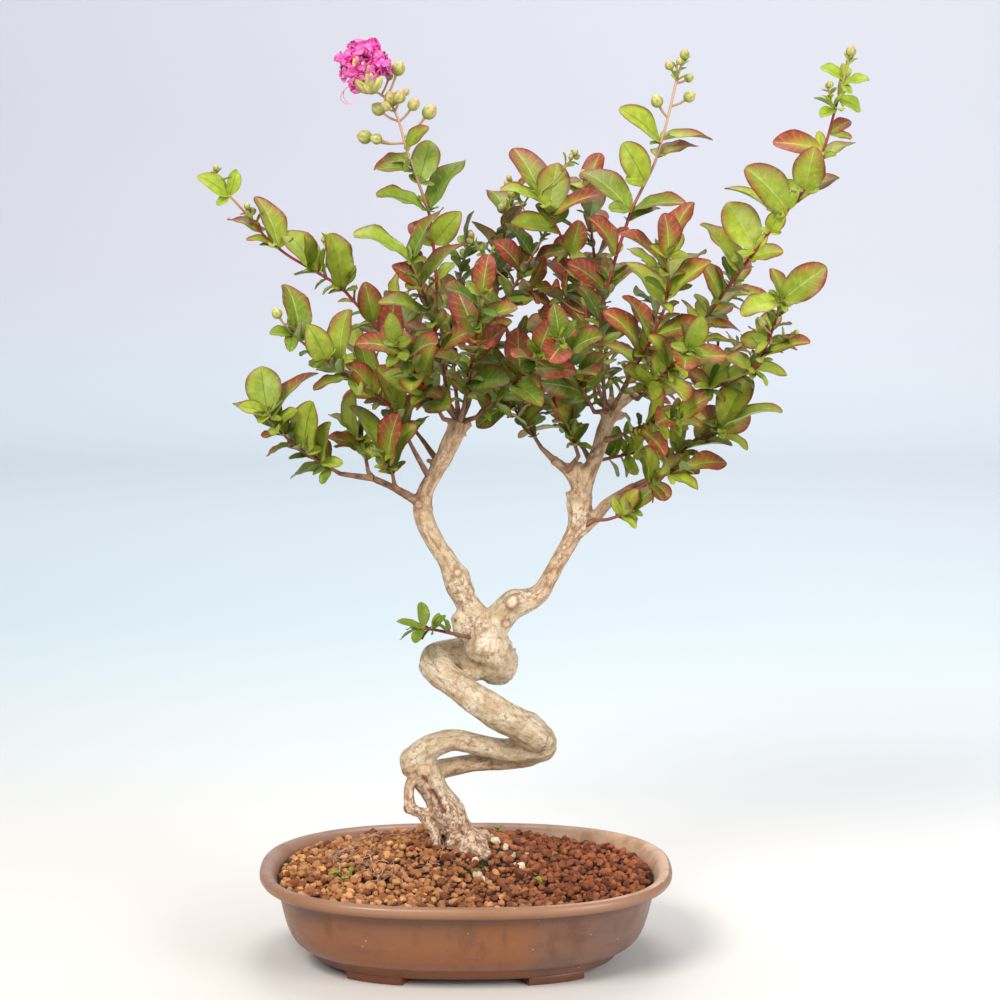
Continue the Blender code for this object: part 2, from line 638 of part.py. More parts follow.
def vectors(points):
    return [Vector(point[:3]) for point in points]


def twig_route(shoot):
    """The brown twig below a shoot: it ends in line with the shoot's stem, a fit gap short of it."""
    start, after = vectors(shoot.route[:2])
    heading = (after - start).normalized()
    lead = start - heading * TWIG_LEAD
    end = start - heading * FIT_GAP
    points = [Vector(shoot.fork), lead, end]
    radii = (TWIG_FOOT_RADIUS, TWIG_RADIUS, TWIG_RADIUS)
    return [(*point, radius) for point, radius in zip(points, radii)]


def make_wood(collection):
    wood = cylinder("wood", STUB_CENTRE, STUB_RADIUS, STUB_BOTTOM, STUB_TOP, STUB_SIDES, collection)
    thick = (TRUNK_LEG, UPPER_STRAND, LOWER_STRAND, TRUNK_LOOP)
    pieces = [tube("trunk", route, 2, collection) for route in thick]
    pieces += [tube("branch", route, 1, collection) for route in (LEFT_BRANCH, RIGHT_BRANCH)]
    pieces += [tube(name, route, 1, collection) for name, route in LIMBS]
    pieces += [ball("burl", burl[:3], burl[3], 2, collection) for burl in BURLS]
    pieces += [tube("twig", twig_route(shoot), 0, collection) for shoot in SHOOTS]
    apply_boolean(wood, "UNION", pieces)
    wood.data.shade_smooth()
    paint(wood, "wood")
    return wood


# Leaves


Pose = namedtuple("Pose", "base axis normal length width stations")


def blade_rows(pose, wave=0.0):
    """Points of the upper face, row by row: the foot, any shoulders, three across the fold, and the tip."""
    side = pose.axis.cross(pose.normal)
    rows = [[pose.base]]
    for (along, half_share), ripple in zip(pose.stations, (wave, -wave)):
        half = pose.width * half_share
        rise = BLADE_ARCH * 4 * along * (1 - along) * pose.length
        middle = pose.base + pose.axis * (along * pose.length) + pose.normal * rise
        left = middle - side * half + pose.normal * (BLADE_FOLD * half + ripple)
        right = middle + side * half + pose.normal * (BLADE_FOLD * half - ripple)
        rows.append([left, middle, right] if len(rows) == len(pose.stations) else [left, right])
    rows.append([pose.base + pose.axis * pose.length])
    return rows


def row_triangles(lower, upper):
    """Corner pairs (row, place) of the triangles between two rows, the same way up for both faces."""
    if len(lower) == 1 and len(upper) == 2:
        return (((0, 0), (1, 1), (1, 0)),)
    if len(lower) == 1:
        return (((0, 0), (1, 2), (1, 1)), ((0, 0), (1, 1), (1, 0)))
    if len(lower) == 2:
        return (((0, 0), (0, 1), (1, 1)), ((0, 0), (1, 1), (1, 0)), ((0, 1), (1, 2), (1, 1)))
    return (((0, 0), (0, 1), (1, 0)), ((0, 1), (0, 2), (1, 0)))


def blade_solid(rows, normal, swell=0.0):
    """A closed blade with two parallel faces. Swell makes it thicker and wider, for trying its clearance."""
    points = []
    starts = []
    for row in rows:
        starts.append(len(points))
        middle = sum(row, Vector()) / len(row)
        points += [point + (point - middle).normalized() * swell + normal * swell for point in row]
    count = len(points)
    points += [point - normal * (BLADE_THICKNESS + 2 * swell) for point in points]
    faces = []
    for start, lower, upper in zip(starts, rows, rows[1:]):
        first_of = (start, start + len(lower))
        for corners in row_triangles(lower, upper):
            face = [first_of[row] + place for row, place in corners]
            faces.append(face)
            faces.append([corner + count for corner in reversed(face)])
    right = [start + len(row) - 1 for start, row in zip(starts, rows)]
    left = [start for start, row in zip(starts, rows) if len(row) > 1]
    loop = right + left[::-1]
    for here, after in zip(loop, loop[1:] + loop[:1]):
        faces.append([here + count, after + count, after, here])
    return points, faces


def route_length(route):
    points = vectors(route)
    return sum((after - before).length for before, after in zip(points, points[1:]))


def point_along(route, share):
    """The point at this share of a route's length, and the route's direction there."""
    points = vectors(route)
    spans = [(after - before).length for before, after in zip(points, points[1:])]
    left = share * sum(spans)
    for before, after, span in zip(points, points[1:], spans):
        if left <= span or after is points[-1]:
            heading = (after - before).normalized()
            return before + heading * min(left, span), heading
        left -= span


def leaf_foot(route, share):
    """Where a leaf leaves the stem, a little above the twig at the latest, and the stem's direction there."""
    lowest = LOWEST_LEAF / route_length(route)
    return point_along(route, max(lowest, min(share, 0.99)))


def facing(axis, wished):
    """The direction nearest to the wished one that is square to the axis."""
    return (wished - axis * wished.dot(axis)).normalized()


def seen_leaf_poses(shoot, number):
    """Ways to hold a leaf that all look alike from the front. They lean towards the viewer or away."""
    along, angle, seen_length, seen_width = shoot.leaves[number]
    base, _ = leaf_foot(shoot.route, along)
    turn = math.radians(angle)
    true_length = max(seen_length * NATURAL_LENGTHENING, SHORTEST_LEAF)
    natural = math.degrees(math.acos(seen_length / true_length))
    preferred = natural * (-1) ** number
    for shrink in SHRINKS:
        for lean in LEANS:
            tilt = math.radians(max(-STEEPEST_LEAN, min(STEEPEST_LEAN, preferred + lean)))
            axis = Vector((math.cos(turn) * math.cos(tilt), math.sin(tilt), math.sin(turn) * math.cos(tilt)))
            length = min(shrink * seen_length / math.cos(tilt), LONGEST_LEAF)
            width = max(seen_width * shrink, WIDTH_OF_LENGTH * length)
            roll = math.acos(min(1.0, seen_width * shrink / width))
            front = facing(axis, Vector((0, -1, 0.2)))
            rolled = [Matrix.Rotation(sign * roll, 3, axis) @ front for sign in (-1, 1)]
            normal = max(rolled, key=lambda direction: direction.z)
            stations = LARGE_BLADE if length > SMALL_LEAF else SMALL_BLADE
            yield Pose(base, axis, normal, length, width, stations)


def rule_leaf_poses(shoot, number, count, draw):
    """Ways to hold a leaf on a shoot that the front view doesn't show: in turn round the stem, face up."""
    base, heading = leaf_foot(shoot.route, 1 - RULE_LEAF_STEM_SHARE * number / count)
    length = draw.uniform(*RULE_LEAF_LENGTHS)
    turn = GOLDEN_ANGLE * number + draw.uniform(-RULE_LEAF_TURN, RULE_LEAF_TURN)
    spread = LEAF_SPREAD
    if number == 0:
        length *= TIP_LEAF_SIZE
        spread *= TIP_LEAF_SPREAD
    across = facing(heading, Vector((0.3, 0.2, 1)))
    outward = Vector((base.x - PLANT_MIDDLE[0], base.y, 0)).normalized()
    for shrink in SHRINKS:
        for swing in LEANS + WIDE_SWINGS:
            side = Matrix.Rotation(turn + math.radians(swing), 3, heading) @ across
            axis = (heading * math.cos(spread) + side * math.sin(spread)).normalized()
            normal = facing(axis, outward * 0.4 + heading * 0.3 + Vector((0, -0.5, 0.8)))
            shrunk = length * shrink
            yield Pose(base, axis, normal, shrunk, shrunk * WIDTH_OF_LENGTH, SMALL_BLADE)


Taken = namedtuple("Taken", "owner whole outer low high")


def corners_of_bounds(points):
    low = [min(point[axis] for point in points) for axis in range(3)]
    high = [max(point[axis] for point in points) for axis in range(3)]
    return low, high


class Space:
    """What is already in place, so that a new leaf or petal can be tried against it.

    A leaf keeps clear of all other nodes with its whole blade. Beside its own stem's leaves only the outer
    part of each blade counts, because their feet meet in the stem.
    """

    def __init__(self):
        self.taken = []

    def add_object(self, obj, owner):
        points = [vertex.co / MM for vertex in obj.data.vertices]
        tree = BVHTree.FromPolygons(points, [tuple(polygon.vertices) for polygon in obj.data.polygons])
        self.taken.append(Taken(owner, tree, tree, *corners_of_bounds(points)))

    def add_blade(self, whole, outer, owner):
        trees = [BVHTree.FromPolygons(*solid) for solid in (whole, outer)]
        self.taken.append(Taken(owner, *trees, *corners_of_bounds(whole[0])))

    def is_clear(self, swollen, outer, owner):
        low, high = corners_of_bounds(swollen[0])
        swollen_tree = BVHTree.FromPolygons(*swollen)
        outer_tree = BVHTree.FromPolygons(*outer)
        for taken in self.taken:
            if any(low[axis] > taken.high[axis] or high[axis] < taken.low[axis] for axis in range(3)):
                continue
            if taken.owner == owner and outer_tree.overlap(taken.outer):
                return False
            if taken.owner != owner and swollen_tree.overlap(taken.whole):
                return False
        return True


def place_blade(poses, owner, space, wave=0.0):
    """Takes the first pose that is clear of everything else. Returns its points and faces, or None."""
    for pose in poses:
        rows = blade_rows(pose, wave)
        swollen = blade_solid(rows, pose.normal, CLEARANCE)
        outer = blade_solid(rows[1:], pose.normal)
        if space.is_clear(swollen, outer, owner):
            whole = blade_solid(rows, pose.normal)
            space.add_blade(whole, outer, owner)
            return whole
    return None


# Shoots


def solid_object(name, points, faces, collection):
    bm = bmesh.new()
    corners = [bm.verts.new(point) for point in points]
    for face in faces:
        bm.faces.new([corners[index] for index in face])
    return mesh_object(name, bm, collection)


def stem_route(shoot):
    first, last = STEM_RADIUS
    steps = len(shoot.route) - 1
    return [(*point, first + (last - first) * index / steps) for index, point in enumerate(shoot.route)]


def nearest_on_route(route, point):
    shares = [index / PEDICEL_TRIES for index in range(PEDICEL_TRIES + 1)]
    places = [point_along(route, share)[0] for share in shares]
    return min(places, key=lambda place: (place - point).length)


def make_bud(shoot, bud, collection):
    """A round flower bud on a short stalk from the nearest place on the shoot's stem."""
    centre = Vector(bud[:3])
    foot = nearest_on_route(shoot.route, centre)
    stalk = tube("stalk", ((*foot, PEDICEL_RADIUS), (*centre, PEDICEL_RADIUS)), 0, collection)
    return [stalk, ball("bud", centre, bud[3], 1, collection)]


def make_stem(shoot, collection):
    stem = tube(shoot.name, stem_route(shoot), 0, collection)
    buds = [piece for bud in shoot.buds for piece in make_bud(shoot, bud, collection)]
    if shoot.name == "flower_shoot":
        buds.append(ball("calyx", CALYX_CENTRE, CALYX_RADIUS, 1, collection))
    return stem, buds


def add_leaves(shoot, stem, buds, space, collection):
    """Fuses the shoot's leaves and buds to its stem."""
    if shoot.leaves is None:
        draw = random.Random(SEED + len(shoot.name) * 7 + SHOOTS.index(shoot))
        count = round(route_length(shoot.route) / RULE_LEAF_SPACING)
        choices = [rule_leaf_poses(shoot, number, count, draw) for number in range(count)]
    else:
        choices = [seen_leaf_poses(shoot, number) for number in range(len(shoot.leaves))]
    blades = [place_blade(poses, shoot.name, space) for poses in choices]
    placed = [solid_object("leaf", *blade, collection) for blade in blades if blade]
    apply_boolean(stem, "UNION", buds + placed)
    paint(stem, "shoot")


# Flower


def petal_poses(number, draw):
    """Petals point to all sides of the core, and shorter ones are tried where something is in the way."""
    height = 1 - 2 * (number + 0.5) / PETALS
    turn = number * GOLDEN_ANGLE
    level = math.sqrt(1 - height * height)
    axis = Vector((level * math.cos(turn), level * math.sin(turn), height))
    length = draw.uniform(*PETAL_REACH)
    normal = Matrix.Rotation(draw.uniform(-1, 1), 3, axis) @ facing(axis, Vector((0.3, 0.2, 1)))
    for shrink in SHRINKS:
        yield Pose(Vector(BLOOM_CENTRE), axis, normal, length * shrink, PETAL_WIDTH, PETAL_BLADE)


def make_flower(space, collection):
    """The open bloom: waved petals round a core, on a short claw that stands on the calyx."""
    draw = random.Random(SEED)
    top = CALYX_CENTRE[2] + CALYX_RADIUS + FIT_GAP
    x, y, _ = CALYX_CENTRE
    route = ((x, y, top, CLAW_RADIUS), (x, y, top + CLAW_FOOT, CLAW_RADIUS), (*BLOOM_CENTRE, CLAW_TOP_RADIUS))
    claw = tube("claw", route, 0, collection)
    flower = ball("flower", BLOOM_CENTRE, BLOOM_CORE_RADIUS, 1, collection)
    poses = [petal_poses(number, draw) for number in range(PETALS)]
    blades = [place_blade(choices, "flower", space, PETAL_WAVE) for choices in poses]
    petals = [solid_object("petal", *blade, collection) for blade in blades if blade]
    apply_boolean(flower, "UNION", [claw, *petals])
    paint(flower, "flower")
    return flower


def main():
    clear_scene()
    plant = new_collection("crepe_myrtle_bonsai")
    middle = bpy.data.objects.new("pot_centre", None)
    middle.location = (-PLANT_MIDDLE[0] * MM, -PLANT_MIDDLE[1] * MM, 0)
    plant.objects.link(middle)
    space = Space()
    make_pot(plant)
    for side in (-1, 1):
        make_screen(side, plant)
    soil = make_soil(plant)
    wood = make_wood(plant)
    space.add_object(soil, "soil")
    space.add_object(wood, "wood")
    stems = []
    for shoot in SHOOTS:
        stem, buds = make_stem(shoot, plant)
        for piece in (stem, *buds):
            space.add_object(piece, shoot.name)
        stems.append((shoot, stem, buds))
    make_flower(space, plant)
    for shoot, stem, buds in stems:
        add_leaves(shoot, stem, buds, space, plant)
    for obj in plant.objects:
        if obj is not middle:
            obj.parent = middle


main()
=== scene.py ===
"""Looks of the crepe myrtle bonsai: fine leaves, bark, bloom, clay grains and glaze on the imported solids.

Lengths are millimetres from the centre of the pot: X to the right, Y to the back, Z up from the surface
that the feet stand on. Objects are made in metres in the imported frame, whose origin lies PLANT_MIDDLE from
there.
"""

import math
import random
from collections import namedtuple

import bmesh
import bpy
import numpy as np
from mathutils import Matrix, Vector, noise
from mathutils.kdtree import KDTree


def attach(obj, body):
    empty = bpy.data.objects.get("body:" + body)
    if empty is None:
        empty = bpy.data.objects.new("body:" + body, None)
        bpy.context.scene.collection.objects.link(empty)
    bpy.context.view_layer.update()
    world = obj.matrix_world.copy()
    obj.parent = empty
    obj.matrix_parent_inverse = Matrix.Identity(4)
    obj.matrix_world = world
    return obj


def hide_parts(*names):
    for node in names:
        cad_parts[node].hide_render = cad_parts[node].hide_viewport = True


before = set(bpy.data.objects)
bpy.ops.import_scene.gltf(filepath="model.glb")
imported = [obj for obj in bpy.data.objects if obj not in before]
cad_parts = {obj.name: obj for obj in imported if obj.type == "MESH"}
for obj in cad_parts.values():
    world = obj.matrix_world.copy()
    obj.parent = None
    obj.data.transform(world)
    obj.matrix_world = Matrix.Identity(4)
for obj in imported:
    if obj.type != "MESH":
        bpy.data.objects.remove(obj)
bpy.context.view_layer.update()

MM = 0.001
SEED = 41
FULL_TURN = 6.28
PLANT_MIDDLE = (43.0, 4.0)

# Edges with a larger angle than this look sharp
LEAF_SHARP = math.radians(55)
BLOOM_SHARP = math.radians(75)
BARK_SHARP = math.radians(80)
POT_SHARP = math.radians(50)
STONE_SHARP = math.radians(25)

# Camera, from the same origin as the tables
CAMERA_PLACE = (23.0, -1900.0, 610.0)
CAMERA_DIP = 8.85
CAMERA_LENS = 104.04
CAMERA_SENSOR = 36.0

# Pot, as in the part's source
POT_LENGTH = 280.0
POT_WIDTH = 215.0
OVAL_POWER = 2.5
POT_SECTION = (
    (60.0, 4.0), (37.5, 4.0), (36.8, 10.8), (34.5, 12.0), (28.5, 14.0), (22.5, 19.0), (18.5, 27.0),
    (15.5, 38.0), (13.0, 50.0), (10.5, 54.5), (3.0, 56.5), (0.0, 60.5), (1.0, 64.0), (4.0, 65.0),
    (8.0, 64.0), (11.0, 60.0), (21.0, 36.0), (28.0, 20.0), (37.0, 12.0), (60.0, 12.0),
)
INNER_SHARE = 0.66
DRAIN_HOLE_RADIUS = 11.0
DRAIN_HOLE_X = 45.0
SECTION_ROUNDS = 3
FOOT_SECTION = ((38.0, 9.0), (38.0, 1.2), (39.2, 0.0), (50.8, 0.0), (52.0, 1.2), (52.0, 9.0))
FRONT_FOOT_SPACE = 78.0
END_FOOT_SPACE = 92.0
POT_POINTS = 168
FOOT_POINTS = 30
FOOT_SEARCH_POINTS = 200
DRILL_SPAN = (-2, 20)
DRILL_SIDES = 48
WELD = 0.00002
# A small lump in the glaze of the rim
RIM_LUMP = (131, -49, 64)
RIM_LUMP_RADIUS = 3.0

# Soil, as in the part's source
SOIL_EDGE_HEIGHT = 55.0
MOUND_HEIGHT = 23.5
MOUND_CENTRE = (-12.0, 15.0)
MOUND_REACH = (74.0, 62.0)
SOIL_BUMP = 1.1

# Wood: (x, y, z, radius) from the root to the tip
STUB = ((1, 0, 50, 13.5), (1, 0, 72, 13.8))
TRUNK_LEG = (
    (1, 0, 60, 14.2),
    (1, 0, 70, 13.6), (0, 0, 77, 11.4), (-4, 0, 86, 9.8), (-12, 0, 100, 10.6), (-21, 1, 115, 9.6),
    (-33, 5, 134, 11.6),
)
UPPER_STRAND = (
    (-35, 4, 133, 10.2), (-26, 4, 143, 8.6), (-9, 4, 149, 7.5), (13, 4, 145, 7.4), (33, 4, 142, 8.7),
    (50, 4, 147, 11),
)
LOWER_STRAND = (
    (-34, 10, 128, 9.4), (-23, 14, 126, 7.4), (-10, 16, 128, 6.5), (9, 16, 131, 6.2), (35, 14, 134, 6.8),
    (51, 8, 143, 9.6),
)
TRUNK_LOOP = (
    (50, 7, 148, 11.8), (44, -5, 157, 11.8), (30, -14, 167, 11), (11, -19, 180, 10.2), (-4, -17, 191, 9.8),
    (-17, -11, 200, 10.4), (-20, 0, 205, 11), (-7, 10, 207, 11.2), (9, 6, 209, 12.2), (13, -4, 220, 14.4),
    (14, 0, 231, 10.5),
)
LEFT_BRANCH = (
    (12, 0, 227, 10.1), (5, 0, 238, 9), (-1, 0, 248, 7.8), (-5, 0, 257, 8.6), (-12, 0, 273, 6.6),
    (-21, 0, 287, 6.6), (-28, 0, 304, 6.8), (-26, 0, 320, 5.6), (-19, 0, 334, 5.4), (-14, 0, 344, 6),
    (-6, 0, 361, 6), (-3, 0, 370, 5),
)
RIGHT_BRANCH = (
    (18, 0, 227, 9.6), (24, 0, 236, 9.6), (31, 0, 243, 9.4), (40, 0, 246, 8.4), (49, 0, 251, 6.6),
    (57, 0, 263, 5.6), (65, 0, 278, 5.2), (72, 0, 291, 6), (76, 0, 303, 7.8), (76, 0, 315, 8.2),
    (82, 0, 332, 5.4), (89, 0, 350, 4.8), (92, 0, 361, 5), (98, 0, 376, 4.6),
)
LIMBS = (
    ((77, 0, 310, 6), (77, 0, 316, 6), (73, 0, 339, 4.2)),
    ((76, 0, 318, 4), (69, 0, 332, 3.4), (58, -2, 342, 2.9)),
    ((77, 0, 295, 4.8), (86, -2, 302, 4), (93, -4, 311, 3.6), (102, -5, 318, 3), (113, -6, 325, 2.6)),
    ((-28, 0, 309, 4), (-33, -2, 314, 3), (-47, -6, 323, 2.4), (-61, -9, 330, 2.1)),
    ((98, 0, 376, 4.6), (107, 0, 383, 4), (116, 0, 389, 3.2)),
    ((-32, 0, 127, 4), (-38, -3, 120, 3.4), (-38, -6, 107, 3.8), (-33, -5, 102, 3.6), (-23, -1, 98, 3.8),
     (-14, 0, 93, 4.5)),
    ((-32, -4, 103, 3.4), (-28, -3, 97, 3.6), (-22, -2, 88, 3.6), (-18, -2, 76, 4)),
)
# Roots that run out of the leg's foot into the soil
SURFACE_ROOTS = (
    ((2, -5, 86, 5), (6, -11, 80, 5.6), (11, -16, 77, 5.2), (16, -18, 75, 3.4)),
    ((-4, -4, 88, 5), (-8, -9, 83, 4.6), (-13, -12, 80, 3)),
    ((4, 4, 82, 6), (12, 6, 77, 4)),
)
# Round swellings: (x, y, z, radius)
BURLS = (
    (21, 3, 203, 15), (33, -2, 245, 9.6), (-4, 0, 364, 6.4), (96, 0, 374, 6), (-4, -4, 234, 6),
    (-3, -4, 227, 6.5), (-38, -6, 105, 4.6), (-4, -2, 262, 8), (-1, -2, 255, 7.2), (-34, 5, 134, 11.6),
    (13, -9, 221, 11.5), (1, 0, 76, 14.2), (20, -5, 212, 12.8), (3, -3, 197, 7.6), (49.5, 6, 145.5, 12.4),
)
# Marks on the bark: (x, y, z, radius, kind). A callus is a healed cut, a pit a hole and an eye a small knot.
BARK_MARKS = (
    (15, -19, 222, 9.0, "callus"), (-8, -9, 234, 2.6, "pit"), (31, -11, 247, 4.2, "eye"),
    (27, -8, 232, 3.0, "eye"), (-5, -9, 267, 3.2, "eye"), (-31, -6, 312, 3.5, "eye"),
    (73, 0, 340, 4.2, "callus"), (84, -5, 345, 2.6, "eye"), (-6, -23, 178, 1.4, "pit"),
    (18, -26, 172, 1.2, "pit"), (28, -6, 136, 1.4, "pit"), (-26, -9, 200, 1.4, "pit"),
    (42, -16, 158, 1.2, "pit"), (66, -5, 283, 2.0, "eye"), (1, -6, 352, 3.0, "eye"),
)
# Dark red flaking bark: (start, end, half-width)
FLAKES = (
    ((-26, -9, 124), (-14, -11, 104), 2.0),
    ((-31, -5, 130), (-26, -8, 124), 1.2),
    ((-7, -11, 100), (-2, -10, 88), 1.0),
)

